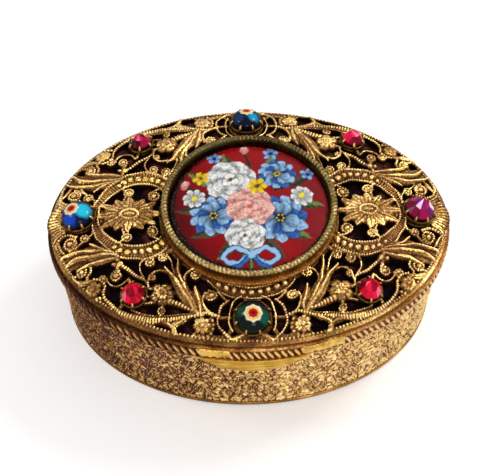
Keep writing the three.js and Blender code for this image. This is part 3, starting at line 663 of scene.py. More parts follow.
def draw_end_frame(r):
    """The pointed frame of balls, and the rosette and whorls inside it."""
    inner = [(19.4, 6.2), (20.6, 7.4), (22.6, 8.35), (25, 8.6), (27.4, 8.2), (29.4, 7.1)]
    inner += [(31.4, 5.3), (33, 3.4), (33.8, 1.6), (34, 0)]
    outer = [(18.4, 9.6), (20.2, 10.9), (22.4, 11.7), (25, 11.9), (27.6, 11.4), (30, 9.9)]
    outer += [(32.2, 7.8), (33.9, 5.4), (34.9, 2.8), (35.2, 0)]
    middle = [(19.2, 8.1), (20.6, 9.2), (22.6, 10), (25, 10.25), (27.5, 9.8), (29.7, 8.5)]
    middle += [(31.8, 6.6), (33.4, 4.5), (34.4, 2.2), (34.6, 0)]
    r.strand(middle, 3.4, 0.12, 0.5, MILLED, (1, 1, 1, 0.9, 0.62, 0.4), 0.8)
    for edge in (inner, outer):
        r.strand(edge, 0.62, 0.2, 0.9, (0.58, 0.4))
    r.balls_along(middle[:6], 0.7, 1.55, 0.4, 1.0, (1.15, 1.05, 1.0, 0.9, 0.7))
    r.strand([(31.4, 0), (34.6, 0)], 3.6, 0.1, 0.6, (0.8, 0.3), flat=0.5)
    r.rosette((26.8, 0), ROSETTE_LEAVES, 5.0, 3.4)
    r.volute((21.3, 4.9), 1.65, 0.62, 70, 1.3, -1, tail=[(19.4, 7.3), (20.2, 6.9)])
    r.volute((27.1, 6.1), 1.5, 0.58, -60, 1.2, 1, tail=[(27.6, 3.2), (28.1, 4.2)])
    r.strand([(28.1, 6.6), (28.6, 7.5), (28.2, 8.4)], 0.6)


def draw_inner_whorls(r):
    """Small whorls and wires between the frame and the medallion."""
    r.volute((18.9, 11.9), 1.3, 0.55, -100, 1.1)
    r.volute((21.6, 12.9), 1.35, 0.55, -120, 1.1)
    r.strand([(18, 9.4), (19.6, 10.8), (22.2, 11.9), (23.4, 12.3)], 0.9, 0.15, 0.7, MILLED)
    r.strand([(22.9, 11.7), (23.7, 13.2), (23.7, 15), (22.9, 16.8), (22, 18.6)], *FINE_WIRE)
    r.strand([(18.1, 11), (17.2, 12.6), (16.7, 14.4), (16.4, 16)], *FINE_WIRE)
    r.strand([(17, 9.8), (18.2, 10.6)], 1.2, 0.15, 0.6)


def draw_acanthus(r):
    """The three blades that rise from the main scroll, with their curls."""
    blades = (
        ([(11.2, 25.6), (13, 22), (14.5, 18.8), (15.5, 15.4), (15.7, 12.2)], 2.0, 1.0),
        ([(11.6, 25.4), (13.9, 21.8), (15.8, 18.4), (17.4, 15.9), (18.6, 14.5)], 2.7, 1.15),
        ([(10.9, 25.2), (11.3, 22.4), (12, 19.3)], 2.2, 1.0),
    )
    r.strand([(11.2, 25.2), (13.2, 21.8), (15.2, 18.4)], 3.2, 0.1, 0.25, None, (0.6, 1, 0.5), 0.8)
    for line, width, high in blades:
        r.leaf(line, width, 0.1, high, 2, 0, 0.35, 0.32, 0.5)
    r.strand([(17.2, 16.5), (18.3, 15.6), (19.8, 15.2), (21.2, 15.9), (21.9, 17.2), (21.9, 18.8)], 0.6)
    r.volute((21.1, 16.7), 1.05, 0.45, -90, 1.0)
    r.strand([(13.2, 22), (14, 20), (14.2, 18), (13.8, 16.2), (12.9, 15.2), (12, 15.1)], 0.6)
    r.volute((11.9, 16.4), 1.3, 0.5, -90, 1.1, -1)


def draw_blossom(r):
    """The blossom beside the corner stone and the ribbed cone under it."""
    r.flower((19, 20.7), 2.8, 5, 95, 0.95)
    r.flower((19, 20.7), 1.7, 5, 130, 1.25, 0.3)
    r.strand([(19, 23), (18.9, 24.4), (19.4, 25.8)], 0.8, 0.15, 0.7)
    r.volute((19.2, 24.5), 1.1, 0.45, 90, 0.9, 1, 0.3)
    r.strand([(21, 19.6), (22.2, 19.2)], 0.9, 0.15, 0.7)
    r.strand([(20.5, 22.6), (22.4, 22.7)], 0.7, 0.15, 0.7)
    cone = [(11.9, 24.9), (14.5, 23.9), (17.3, 22.5)]
    r.strand(cone, 1.9, 0.2, 1.05, (0.7, 0.42), (0.22, 0.5, 0.85, 1.0))
    r.strand([(17, 22.6), (17.9, 22)], 1.0, 0.15, 0.8)


def draw_main_scroll(r):
    """The milled scroll that follows the rim, and what hangs on it."""
    line = [(7.2, 26.2), (9.5, 25.5), (12, 26), (15, 26.3), (18, 26.5), (21, 26.4), (24, 25.8)]
    line += [(26.8, 24.6), (29.2, 22.9), (30.9, 21), (31.5, 19.2), (31.5, 17.9), (32.4, 16.7)]
    line += [(33.8, 16.2)]
    widths = (0.7, 0.8, 0.75, 0.8, 1.1, 1.35, 1.35, 1.1, 0.8, 0.7, 0.6, 0.5)
    r.strand(line, 1.25, 0.15, 0.95, (0.62, 0.42), widths)
    r.strand([(11.8, 25.3), (15, 25.6), (19, 25.6), (23, 24.9), (25.4, 23.8)], 0.5, 0.15, 0.7, MILLED)
    r.leaf([(13, 26.4), (15.2, 27), (16.5, 28.2), (15.8, 30.2)], 1.7, 0.1, 0.95, 3, 3)
    r.leaf([(19.2, 26.9), (17.5, 27.4), (16, 28.9)], 1.3, 0.1, 0.8, 2)
    r.flower((10.6, 28.2), 2.1, 8, 0, 0.95, 0.34)
    r.balls_along([(8.4, 27), (8.1, 28.6), (8.9, 30.1), (10.6, 30.6), (12.3, 30)], 0.42, 0.95, 0.25, 0.9)
    r.strand([(8.6, 26.6), (8.2, 28.4), (9, 30.6)], 0.9, 0.1, 0.35)


def draw_middle(r):
    """Arcs round the stone at the middle of the long side, and the ball crescent above it."""
    arc = [(4.9, 22.9), (6.4, 24.1), (7.2, 26), (7.1, 28.1), (6.2, 29.8), (4.7, 31.2)]
    r.strand(arc, 0.62, 0.2, 0.85, MILLED)
    r.strand([(2.2, 21.9), (4, 23.4), (4.8, 25.4), (4.9, 27.6), (4.2, 29.6)], 0.5, 0.2, 0.8)
    r.strand([(4.6, 26.6), (7, 26.4)], 0.8, 0.15, 0.6)
    r.strand([(4.4, 29), (5.4, 30.8)], 0.9, 0.15, 0.5)
    r.strand([(0, 31.2), (3, 31.1), (6, 30.9), (9, 30.4)], 1.2, 0.1, 0.45, (0.9, 0.15))
    r.leaf([(0.6, 30.2), (2.2, 30.4), (4.2, 31.3)], 1.3, 0.1, 0.8, 2)
    crescent = [(0, 21.2), (2.6, 20.9), (5, 20.1), (7.2, 18.9), (9, 17.3)]
    r.strand(crescent, 2.6, 0.12, 0.3, None, (1, 1, 0.95, 0.7, 0.45), 0.8)
    r.balls_along([(0, 21), (2.6, 20.7), (5, 19.9), (7, 18.9)], 0.68, 1.7, 0.3, 1.0)
    r.strand([(0, 19.9), (2.6, 19.6), (5, 18.8), (7.2, 17.6), (9.4, 16.4)], *FINE_WIRE, MILLED)
    r.strand([(0, 22.4), (2.8, 22.2), (5.4, 21.4), (7.6, 19.9), (9.2, 18)], *FINE_WIRE, MILLED)
    r.volute((8.5, 21.6), 1.45, 0.55, -60)
    r.strand([(9.9, 21), (10.4, 22.8), (9.9, 24.4), (8.6, 25.6)], 0.7, 0.15, 0.8)
    r.strand([(7.2, 20.8), (6.2, 22), (5.2, 22.9)], 0.6, 0.15, 0.7)


def draw_end_leaves(r):
    """The leaf of long pointed blades that runs to the end, and the milled link behind it."""
    blades = (
        ([(29, 10.6), (32, 10.4), (35.6, 10.5), (38.8, 11.2), (40.8, 13)], 2.6),
        ([(29.6, 10), (33, 9.4), (36.8, 9.0), (40.4, 9.6), (42.0, 10.8)], 2.2),
        ([(29.4, 11.4), (32.4, 11.9), (35, 12.4), (37.6, 13.8)], 2.1),
        ([(31, 9.6), (33.4, 8.5), (35.4, 7.2)], 1.7),
    )
    r.strand(blades[0][0], 5.4, 0.1, 0.3, None, (0.4, 0.9, 1.0, 0.9, 0.4), 0.8)
    for line, width in blades:
        r.leaf(line, width, 0.1, 1.1, 2, 2, tip=0.2, groove=0.3, point=0.5)
    r.strand([(28.9, 9.4), (29, 11.2), (28.6, 12.8), (28.8, 14.2)], 1.1, 0.15, 0.75)
    r.ball((28.3, 12.9), 0.8, 0.4)
    r.ball((29.6, 12.9), 0.6, 0.4)
    r.strand([(28.2, 13.2), (26.6, 14.4), (24.8, 15.9), (23.1, 17)], 1.0, 0.15, 0.9, (0.66, 0.42))


def draw_end_whorls(r):
    """Whorls, small flowers and leaf lumps between the end leaf and the rim."""
    r.volute((28.9, 15.8), 1.5, 0.6, -120, 1.25, tail=[(28.8, 13.6)])
    r.strand([(26.2, 16.6), (27.3, 17.9), (28.8, 18.2), (30.3, 17.6), (31.1, 16.4)], *FINE_WIRE)
    r.volute((31.8, 16.1), 1.25, 0.5, 180, 1.1, -1)
    r.flower((33.9, 18.6), 2.0, 7, 10, 0.95, 0.4)
    r.strand([(32.2, 20.6), (34.2, 20.9), (36.4, 19.6), (38.6, 17.2)], 1.1, 0.15, 0.75, (0.8, 0.3))
    r.volute((36.6, 14.1), 1.5, 0.6, 40, 1.2, tail=[(39.6, 14.6), (38.6, 15.1)])
    r.leaf([(34.2, 16.6), (36.4, 16.6), (38.4, 16), (40.2, 14.6)], 1.5, 0.1, 0.95)
    r.strand([(34.9, 12.9), (34.6, 14.4), (35.2, 15.8), (34.4, 17)], 0.8, 0.15, 0.8, MILLED)
    r.volute((36.5, 5.6), 1.25, 0.5, -160, 1.1, -1, tail=[(34.8, 3.6), (35, 4.8)])
    r.strand([(36.9, 6.7), (38, 7.9), (38.3, 9.2)], 0.7, 0.15, 0.7)
    r.volute((39.7, 6.7), 1.95, 0.7, 90, 1.3, 1, 0.36)
    outer = [(38.4, 5), (40.3, 4.2), (42.2, 5), (43, 6.8), (42.8, 9), (42.2, 11), (41.2, 13)]
    r.strand(outer, 0.9, 0.15, 0.85, (0.66, 0.3))
    r.leaf([(40.6, 9.2), (41.6, 8), (42.4, 6.4)], 1.1, 0.1, 0.8, 2)
    r.strand([(22.2, 21.2), (24, 21), (27, 22), (28, 23.6)], 0.9, 0.15, 0.7, (0.66, 0.3))
    r.strand([(25.6, 18.8), (26, 17)], 0.8, 0.15, 0.7)


def draw_seats(r):
    """Low rounds under the stones and the medallion."""
    r.disc((0, MIDDLE_STONE_Y), 4.2, 0.2)
    r.disc((END_STONE_X, 0), 3.9, 0.2)
    r.disc((CORNER_STONE_X, CORNER_STONE_Y), 2.5, 0.2)
    r.disc((0, 0), 20.1, 0.15)


EDGE_INSET, WIRE_HALF = 0.3, 0.3
WIRE_FRONT, WIRE_BACK = 1.42, 0.74
WIRE_BEADS = 316


def add_rim(X, Y, H, SD, step):
    """The smooth ledge round the openwork and the beaded wire on its inner side. The ledge is
    broad at the front and narrow at the back."""
    edge = edge_distance(X, Y)
    inset = np.interp(Y, (-12, 6), (WIRE_FRONT, WIRE_BACK))
    beads = 0.55 + 0.45 * np.cos(np.arctan2(Y / LID_B, X / LID_A) * WIRE_BEADS)
    roll = 0.26 * rounded(edge, 0.5, 0.3)
    cove = np.interp(edge, [0.3, 0.78, 0.86, 1.0, 1.2], [0.02, 0.0, 0.1, 0.14, 0.22])
    wire = 0.2 + 0.46 * rounded(edge, inset, WIRE_HALF) * beads
    ledge = np.maximum(np.maximum(roll, cove), wire)
    near = (edge > -step) & (edge < inset + WIRE_HALF + step)
    H = np.where((edge < inset - WIRE_HALF) & near, 0.0, H)
    H = np.where(near, np.maximum(H, ledge), H)
    SD = np.where(near, np.minimum(SD, edge - inset - WIRE_HALF), SD)
    return H, np.maximum(SD, EDGE_INSET - edge)


FAN_CENTRE, FAN_REACH, FAN_SPREAD, FAN_RIBS = (37.6, 0.0), 7.95, 40.0, 11


def draw_fan(r):
    """The palmette outside the end stone: it lies over the rim and scallops the outline."""
    for where, U, V in r.windows((37, 0), (46, 6), 0.5):
        x, y = U - FAN_CENTRE[0], V - FAN_CENTRE[1]
        rho, angle = np.hypot(x, y), np.degrees(np.arctan2(y, x))
        phase = angle / FAN_SPREAD * (FAN_RIBS / 2)
        lobe = np.abs(np.cos(np.pi * phase))
        reach = FAN_REACH - 0.2 * (1 - lobe**0.7) - 0.6 * rising(angle, 0, FAN_SPREAD) ** 2
        t = np.clip(rho / reach, 0, 1)
        round_end = rounded(rising(t, 0.8, 1))
        heights = 0.2 + (0.34 + 0.24 * lobe**0.8) * round_end * np.clip(1.3 * t, 0, 1)
        aside = (angle - FAN_SPREAD) * np.pi / 180 * rho
        r.put(where, heights, np.maximum(rho - reach, aside))
    r.leaf([(41, 3.4), (42.6, 4.4), (43.6, 6.2)], 1.4, 0.2, 0.8, 2, tip=0.1, point=0.6)


GRID_WIDTH, GRID_HEIGHT, GRID_STEP = 46.2, 33.6, 0.178


def drawn(*parts):
    r = Relief(GRID_WIDTH, GRID_HEIGHT, GRID_STEP)
    for part in parts:
        part(r)
    return r


def sampled(grid, u, v):
    """Values of a grid between its points; u and v count its steps."""
    rows, cols = grid.shape
    u, v = np.clip(u, 0, rows - 1.001), np.clip(v, 0, cols - 1.001)
    i, j = u.astype(int), v.astype(int)
    fu, fv = u - i, v - j
    low = grid[i, j] * (1 - fu) + grid[i + 1, j] * fu
    high = grid[i, j + 1] * (1 - fu) + grid[i + 1, j + 1] * fu
    return low * (1 - fv) + high * fv


def wear_of(H, SD):
    """How rubbed each point is: what stands above its surroundings is bare."""
    solid = (SD <= 0).astype(float)
    filled = np.where(SD <= 0, H, 0.0)
    wear_and_painted_light = 0.38 + 0.16 * (H - 0.6)
    for rounds, gain in ((3, 1.5), (14, 0.75)):
        around = blur(filled, rounds) / np.maximum(blur(solid, rounds), 0.2)
        wear_and_painted_light = wear_and_painted_light + gain * (H - around)
    return wear_and_painted_light


HIDDEN_RADIUS = 17.0
HAND_WORK = 0.17
OPENWORK_DEPTH = 0.78
PATTERN_FOOT = 0.28


def openwork_wear_and_painted_light(X, Y, H, SD, fan_edge):
    """Rubbed high places, a dull ledge, burnished patches, all a little brighter towards the back, and
    painted
    light and shade: the ledge brighter to the right, the rest a little darker to the right and darker at
    the front left.
    """
    # right sets the painted light and shade from the left of the lid to the right.
    right = np.clip(X / 20, -0.3, 1)
    ledge = (edge_distance(X, Y) < np.interp(Y, (-12, 6), (1.12, 0.44))) & (fan_edge > 0)
    ledge_wear_and_painted_light = 0.36 + 0.14 * right + 0.12 * noise(X, Y, 9.0, 8) + 0.5 * (H - 0.12)
    wear_and_painted_light = np.where(ledge, ledge_wear_and_painted_light, wear_of(H, SD) - 0.04 * right)
    wear_and_painted_light = wear_and_painted_light + 0.1 * noise(X, Y, 10.0, 9) + 0.05 * rising(Y, 14, 24)
    # Painted shade: darker at the front left.
    wear_and_painted_light = wear_and_painted_light - 0.12 * rising(Y, -4, -16) * rising(X, 16, -24)
    burnished = (noise(X, Y, 6.0, 13) > 0.18) & (H > 0.66) & (wear_and_painted_light > 0.5)
    return np.where(burnished, 1.45, np.minimum(wear_and_painted_light, 1))


def build_openwork():
    """The quarter is looked up with small shifts, so that no two quarters are quite alike."""
    r = drawn(
        draw_end_frame, draw_inner_whorls, draw_acanthus, draw_blossom, draw_main_scroll,
        draw_middle, draw_end_leaves, draw_end_whorls, draw_seats,
    )
    x = np.concatenate([-r.u[:0:-1], r.u])
    y = np.concatenate([-r.v[:0:-1], r.v])
    X, Y = np.meshgrid(x, y, indexing="ij")
    u = np.abs(X + HAND_WORK * noise(X, Y, 4.0, 11)) / r.step
    v = np.abs(Y + HAND_WORK * noise(X, Y, 4.0, 12)) / r.step
    H, SD = sampled(np.clip(r.H, 0, None), u, v), sampled(r.SD, u, v)
    H, SD = add_rim(X, Y, H, SD, r.step)
    fan = drawn(draw_fan)
    u, v = np.abs(X) / r.step, np.abs(Y) / r.step
    H = np.maximum(H, sampled(np.clip(fan.H, 0, None), u, v))
    fan_edge = sampled(fan.SD, u, v)
    SD = np.minimum(SD, fan_edge)
    rough = 0.035 * noise(X, Y, 2.6, 5) + 0.035 * noise(X, Y, 0.9, 6) + 0.03 * noise(X, Y, 0.45, 7)
    H = H + rough * (H > PATTERN_FOOT)
    wear_and_painted_light = openwork_wear_and_painted_light(X, Y, H, SD, fan_edge)
    SD = np.maximum(SD, HIDDEN_RADIUS - np.hypot(X, Y))

    def place(px, py, h):
        return np.column_stack([px, py, plate_height(px, py) + h])

    middle = len(x) // 2
    for name, part in (("left", slice(0, middle + 1)), ("right", slice(middle, len(x)))):
        grids = [g[part] for g in (X, Y, H, SD)]
        verts, faces, inside, ring = sheet_mesh(*grids, r.step, place, OPENWORK_DEPTH)
        tones = wear_and_painted_light[part][inside]
        tones[ring] = np.minimum(tones[ring], 1) - 0.12
        tones = {"wear_and_painted_light": np.clip(np.append(tones, np.zeros(len(tones))), 0, 1.5)}
        obj = new_object(f"lid_openwork_{name}", verts, faces, openwork_metal, "lid", tones)
        finished(obj, "gilt_brass", "lid_pierced_plate")


build_openwork()


# Bands round the oval


def round_table(a, b, count=4000):
    """Angles round an oval from the front centre, and the length run at each."""
    t = np.linspace(0, 2 * np.pi, count + 1) - np.pi / 2
    x, y = a * np.cos(t), b * np.sin(t)
    return t, np.concatenate([[0], np.cumsum(np.hypot(np.diff(x), np.diff(y)))])


def oval_points(a, b, angle, out):
    nx, ny = np.cos(angle) / a, np.sin(angle) / b
    size = np.hypot(nx, ny)
    return a * np.cos(angle) + nx / size * out, b * np.sin(angle) + ny / size * out


LID_ROUND = round_table(LID_A, LID_B)[1][-1]
BODY_ROUND = round_table(BODY_A, BODY_B)[1][-1]


def from_front(S, total):
    """Length from the front centre, negative to the left."""
    return np.where(S > total / 2, S - total, S)


def painted_light_side(S, total, start, end, fall):
    """Painted light: 0 at the left, 1 from end on, and 0 again at the back, so that the right of the box
    is painted brighter.
    """
    s = from_front(S, total)
    return rising(s, start, end) * rising(s, total / 2, total / 2 - fall)


def oval_band(name, a, b, heights, count, offset, mat, body, back, wear_and_painted_light, stretch=None):
    """A band round an oval whose face stands offset(s, z) out, s being the length from the front.
    stretch is where it starts and ends, if it doesn't go all the way round."""
    t, s = round_table(a, b)
    lengths = np.linspace(0, s[-1], count, endpoint=False)
    if stretch:
        lengths = np.linspace(*stretch, count) % s[-1]
    S, Z = np.meshgrid(lengths, heights, indexing="ij")
    angle = np.interp(S, s, t)
    out = offset(S, Z)
    rows, cols = S.shape
    ends = [0, -1]
    front = stacked(*oval_points(a, b, angle, out), Z)
    rear = stacked(*oval_points(a, b, angle[:, ends], back), Z[:, ends])
    row, col = np.arange(rows), np.arange(cols)
    low, high = row * cols, row * cols + cols - 1
    rear_low, rear_high = rows * cols + 2 * row, rows * cols + 2 * row + 1
    k = row[:-1] if stretch else row
    n = (k + 1) % rows
    faces = [grid_faces(rows, cols, not stretch, False)]
    for one, other in ((low, rear_low), (rear_high, high), (rear_low, rear_high)):
        faces.append(np.stack([one[k], other[k], other[n], one[n]], 1))
    groups = (np.concatenate(faces),)
    if stretch:
        start = np.append(col, [rear_high[0], rear_low[0]])
        end = np.append(low[-1] + col[::-1], [rear_low[-1], rear_high[-1]])
        groups += (np.array([start, end]),)
    tones = {"wear_and_painted_light": np.append(np.clip(wear_and_painted_light(S, Z, out), 0, 1.5), np.full(len(rear), 0.15))}
    return new_object(name, np.concatenate([front, rear]), groups, mat, body, tones, crease=70)


HINGE_GAP = 10.4


def all_but_hinge(total):
    """A band's start and end on either side of the hinge, as lengths from the front."""
    return HINGE_GAP - total / 2, total / 2 - HINGE_GAP


ROPE_SLANT = 0.45
ROPE_LOW, ROPE_HIGH = 23.85, 26.95
FOOT_WIRE_Z, FOOT_WIRE_HALF, FOOT_BEAD = 23.58, 0.27, 0.73
ROLL_FOOT, ROLL_Z, ROLL_HALF, ROLL_TOP = 26.98, 27.32, 0.42, 27.75
ROPE_PLACES = np.linspace(-LID_ROUND / 2, LID_ROUND / 2, 2001)
ROPE_PITCH = np.interp(ROPE_PLACES, (-60, -45, -25, -12, 0), (1.6, 1.9, 1.9, 1.65, 1.4))
ROPE_TURNS = np.concatenate([[0], np.cumsum(np.diff(ROPE_PLACES) / ROPE_PITCH[1:])])


def polished_stretch(S):
    """1 on the two stretches at the front where the rope is worn plain."""
    s = from_front(S, LID_ROUND)
    left = rising(s, -11.8, -11) * rising(s, -4.6, -5.1)
    right = rising(s, 10, 10.5) * rising(s, 20.5, 19)
    return np.maximum(left, right)


def rope_offset(S, Z):
    """Foot wire, slanted almond beads, a groove and the rolled edge, from the bottom up."""
    middle = (ROPE_LOW + ROPE_HIGH) / 2
    t = np.clip((Z - middle) / (ROPE_HIGH - middle), -1, 1)
    s = from_front(S, LID_ROUND)
    phase = np.interp(s + ROPE_SLANT * (Z - middle), ROPE_PLACES, ROPE_TURNS)
    q = 2 * (phase % 1) - 1
    half = 0.64 * (1 - np.abs(t) ** 3) ** 0.7 + 1e-3
    bead = rounded(q, 0, half) * (1 - 0.25 * t**2) * (1 - 0.2 * q)
    worn = polished_stretch(S) * rising(Z - 0.25 * noise(S, Z, 1.6, 23), 24.35, 24.55)
    rope = (0.03 + 0.54 * bead) * (1 - worn) + (0.42 + 0.05 * (1 - t**2)) * worn
    out = np.where((Z > ROPE_LOW) & (Z < ROPE_HIGH), rope, 0.03)
    tiny = 0.75 + 0.25 * np.cos(2 * np.pi * s / FOOT_BEAD)
    out = np.maximum(out, 0.06 + 0.36 * rounded(Z, FOOT_WIRE_Z, FOOT_WIRE_HALF) * tiny)
    out = np.maximum(out, 0.02 + 0.34 * rounded(Z, ROLL_Z, ROLL_HALF))
    out = np.where(Z > ROLL_TOP, np.minimum(out, 0.02 - 2.2 * (Z - ROLL_TOP)), out)
    return out + 0.015 * noise(S, Z, 4.0, 21)


def rope_wear_and_painted_light(S, Z, out):
    """Rubbed beads, dirt between them, burnished gold where the rope is worn plain, and painted light
    that is darker at the left and back and brighter at the front and right.
    """
    wear_and_painted_light = np.where(Z > ROLL_FOOT, 0.2 + 0.5 * (out - 0.1), 1.7 * out - 0.16)
    # Painted light: darker at the left and back, brighter at the front and right.
    painted_light = 0.6 * painted_light_side(S, LID_ROUND, -34, 0, 30) - 0.31
    wear_and_painted_light = np.clip(wear_and_painted_light + painted_light + 0.08 * noise(S, Z, 7.0, 22), 0, 1)
    burnished = polished_stretch(S) * (Z > 24.3) * (Z < ROLL_FOOT)
    return np.where(burnished * (1 + 0.5 * noise(S, Z, 1.6, 23)) > 0.6, 1.5, wear_and_painted_light)


def build_rope_band():
    z = [SKIRT_FOOT + 0.01, *np.linspace(23.36, 23.8, 6), *np.linspace(ROPE_LOW, ROPE_HIGH, 19)]
    z += [*np.linspace(27.0, ROLL_TOP, 8), 27.83, 27.9]
    obj = oval_band(
        "lid_rope_band_and_edge", LID_A, LID_B, z, 1700, rope_offset, band_metal, "lid", -0.5,
        rope_wear_and_painted_light, all_but_hinge(LID_ROUND),
    )
    finished(obj, "gilt_brass", "lid_rope_band")


build_rope_band()


# The embossed wall

WALL_LOW, WALL_HIGH = 1.3, 22.2
TILES, LEAVES_ACROSS, LEAVES_UP, DOTS = 12, 12, 12, 150
TILE = BODY_ROUND / TILES


def wall_tile():
    """One repeat of the stamped foliage, as heights from 0 to about 1: small leaves of a few
    curved ribs side by side, with hollows between the leaves and a scatter of dots."""
    height = WALL_HIGH - WALL_LOW
    r = Relief(TILE, height, 0.1, wrap=TILE)
    rng = np.random.default_rng(35)
    first, second = np.full(r.U.shape, 99.0), np.full(r.U.shape, 99.0)
    ribs = np.zeros(r.U.shape)
    for i in range(LEAVES_ACROSS):
        for j in range(LEAVES_UP):
            x = (i + 0.5 * (j % 2) + rng.uniform(-0.3, 0.3)) * TILE / LEAVES_ACROSS
            y = (j + 0.5 + rng.uniform(-0.3, 0.3)) * height / LEAVES_UP
            angle = 0.5 * np.pi + 0.9 * math.sin(4 * np.pi * x / TILE) + rng.uniform(-0.8, 0.8)
            pitch, bend = rng.uniform(0.5, 0.7), rng.uniform(-0.24, 0.24)
            for shift in r.shifts:
                along, across = turned_axes(r.U - x - shift, r.V - y, angle)
                across = across + bend * along**2
                distance = np.hypot(0.62 * along, across)
                wave = 0.5 + 0.5 * np.cos(2 * np.pi * across / (pitch * (1 + 0.12 * along)))
                second = np.minimum(second, np.maximum(first, distance))
                ribs = np.where(distance < first, wave, ribs)
                first = np.minimum(first, distance)
    gap = rising(second - first, 0, 0.5)
    heights = (0.1 + 0.9 * ribs**1.2) * gap * np.clip(1.5 - 0.5 * first, 0.3, 1)
    for x, y in rng.uniform((0, 0.5), (TILE, height - 0.5), (DOTS, 2)):
        r.ball((x, y), rng.uniform(0.2, 0.34), 0.6, 1.2)
    return r.step, np.maximum(heights, np.where(r.SD <= 0, r.H, 0.0))


TILE_STEP, TILE_HEIGHTS = wall_tile()


def tile_value(S, Z):
    """The tile's height at a length round the wall and a height on it."""
    s = np.abs(from_front(S, BODY_ROUND)) + 0.15 * noise(S, Z, 5.0, 36)
    return sampled(TILE_HEIGHTS, (s % TILE) / TILE_STEP, (Z - WALL_LOW) / TILE_STEP)


def wall_offset(S, Z):
    edge = rising(Z, WALL_LOW, WALL_LOW + 0.4) * rising(Z, WALL_HIGH - 0.3, WALL_HIGH - 0.7)
    stipple = 0.04 * noise(S, Z, 0.5, 31) + 0.04 * noise(S, Z, 1.2, 32)
    return 0.03 + edge * (0.42 * tile_value(S, Z) + stipple)


def wall_wear_and_painted_light(S, Z, out):
    # Painted light: the wall is darker at the left and back and brighter at the front and right.
    painted_light = 0.54 * painted_light_side(S, BODY_ROUND, -42, 8, 40) - 0.31
    rubbed = 0.1 * np.exp(-(((Z - 1.6) / 1.3) ** 2))
    dirt = 0.4 * np.clip(noise(S, Z, 2.6, 34) - 0.3, 0, 1)
    return 2.0 * out + painted_light + rubbed + 0.08 * noise(S, Z, 6.0, 33) - dirt


BODY_BEADS = round(BODY_ROUND / 0.62)


def bead_offset(low, high, depth):
    def offset(S, Z):
        dome = rounded(2 * (Z - low) / (high - low) - 1)
        wave = np.abs(np.sin(np.pi * S / BODY_ROUND * BODY_BEADS))
        return 0.05 + depth * dome * (0.6 + 0.4 * wave**0.8)

    return offset


def bead_wear_and_painted_light(S, Z, out):
    # Painted light: the wire is darker at the left and back and brighter towards the right.
    painted_light = 0.34 * painted_light_side(S, BODY_ROUND, -12, 28, 40)
    return 0.04 + 0.36 * out + painted_light + 0.12 * noise(S, Z, 5.0, 37)


def build_wall():
    """The embossed wall, in four pieces that meet at the front, the sides and the back."""
    z = np.concatenate([[WALL_FOOT], np.linspace(1.1, 22.4, 168), [BODY_TOP]])
    quarter = BODY_ROUND / 4
    for k, side in enumerate(("back_left", "front_left", "front_right", "back_right")):
        wall = oval_band(
            f"body_embossed_wall_{side}", BODY_A, BODY_B, z, 490, wall_offset, wall_metal, "body",
            -0.65, wall_wear_and_painted_light, ((k - 2) * quarter, (k - 1) * quarter),
        )
        finished(wall, "gilt_brass", "body_wall")


def build_bead(name, low, high, depth, rows, mat, node, stretch=None):
    """A milled wire round the body."""
    bead = oval_band(
        name, BODY_A, BODY_B, np.linspace(low, high, rows), 1400, bead_offset(low, high, depth), mat,
        "body", 0.0, bead_wear_and_painted_light, stretch,
    )
    finished(bead, "gilt_brass", node)


build_wall()
build_bead("body_foot_bead", 0.1, 1.1, 0.52, 8, plain_metal, "base_bead")
build_bead("body_edge_wire", 22.25, 22.95, 0.4, 6, wall_metal, "body_top_bead", all_but_hinge(BODY_ROUND))


# Plain rings, sheets and pads that follow the oval


def swept(count, rows):
    """Grids of the angle, all the way round, and of the row number."""
    angle = np.linspace(0, 2 * np.pi, count, endpoint=False)
    return np.meshgrid(angle, np.arange(rows), indexing="ij")


def oval_ring(name, a, b, profile, count, mat, body, wear_and_painted_light):
    """A closed profile of (offset, z) points swept round an oval."""
    profile = np.asarray(profile, float)
    A, K = swept(count, len(profile))
    X, Y = oval_points(a, b, A, profile[K, 0])
    verts, faces = stacked(X, Y, profile[K, 1]), grid_faces(count, len(profile), True, True)
    tones = {"wear_and_painted_light": np.clip(wear_and_painted_light + 0.1 * noise(X, Y, 6.0, 41), 0, 1).ravel()}
    return new_object(name, verts, faces, mat, body, tones, crease=40)


def oval_sheet(name, a, b, rings, surface, count, mat, body, wear_and_painted_light=0.4):
    """A closed sheet on an oval: rings are (share, side) and surface(x, y, share, side) is its z.
    Its last argument is one value for every point or comes from a function of x and y."""
    share, side = np.array(rings, float).T
    A, K = swept(count, len(rings))
    X, Y = a * share[K] * np.cos(A), b * share[K] * np.sin(A)
    verts = stacked(X, Y, surface(X, Y, share[K], side[K]))
    faces = np.concatenate([grid_faces(count, len(rings), True, False), end_caps(count, len(rings))])
    base = wear_and_painted_light(X, Y) if callable(wear_and_painted_light) else wear_and_painted_light
    tones = {"wear_and_painted_light": np.clip(base + 0.12 * noise(X, Y, 8.0, 42), 0, 1).ravel()}
    return new_object(name, verts, faces, mat, body, tones, crease=50)


def two_sided(shares):
    """Rings from the middle of the underside out to the edge and back over the top."""
    return [(k, 0) for k in shares] + [(k, 1) for k in reversed(shares)]


def build_liner():
    top = LINER_TOP
    liner = [
        (-1.4, WALL_FOOT), (-0.9, WALL_FOOT), (-0.9, top - 0.2), (-1.0, top - 0.04), (-1.15, top),
        (-1.3, top - 0.04), (-1.4, top - 0.2),
    ]
    obj = oval_ring("body_inner_liner", BODY_A, BODY_B, liner, 240, plain_metal, "body", 0.55)
    finished(obj, "gilt_brass", "inner_liner")


def build_skirt():
    foot, top = SKIRT_FOOT, SKIRT_TOP
    skirt = [(-0.8, foot + 0.1), (-0.7, foot), (0, foot), (0, top), (-0.8, top)]
    obj = oval_ring("lid_skirt_ring", LID_A, LID_B, skirt, 240, plain_metal, "lid", 0.4)
    finished(obj, "aged_brass", "lid_skirt")


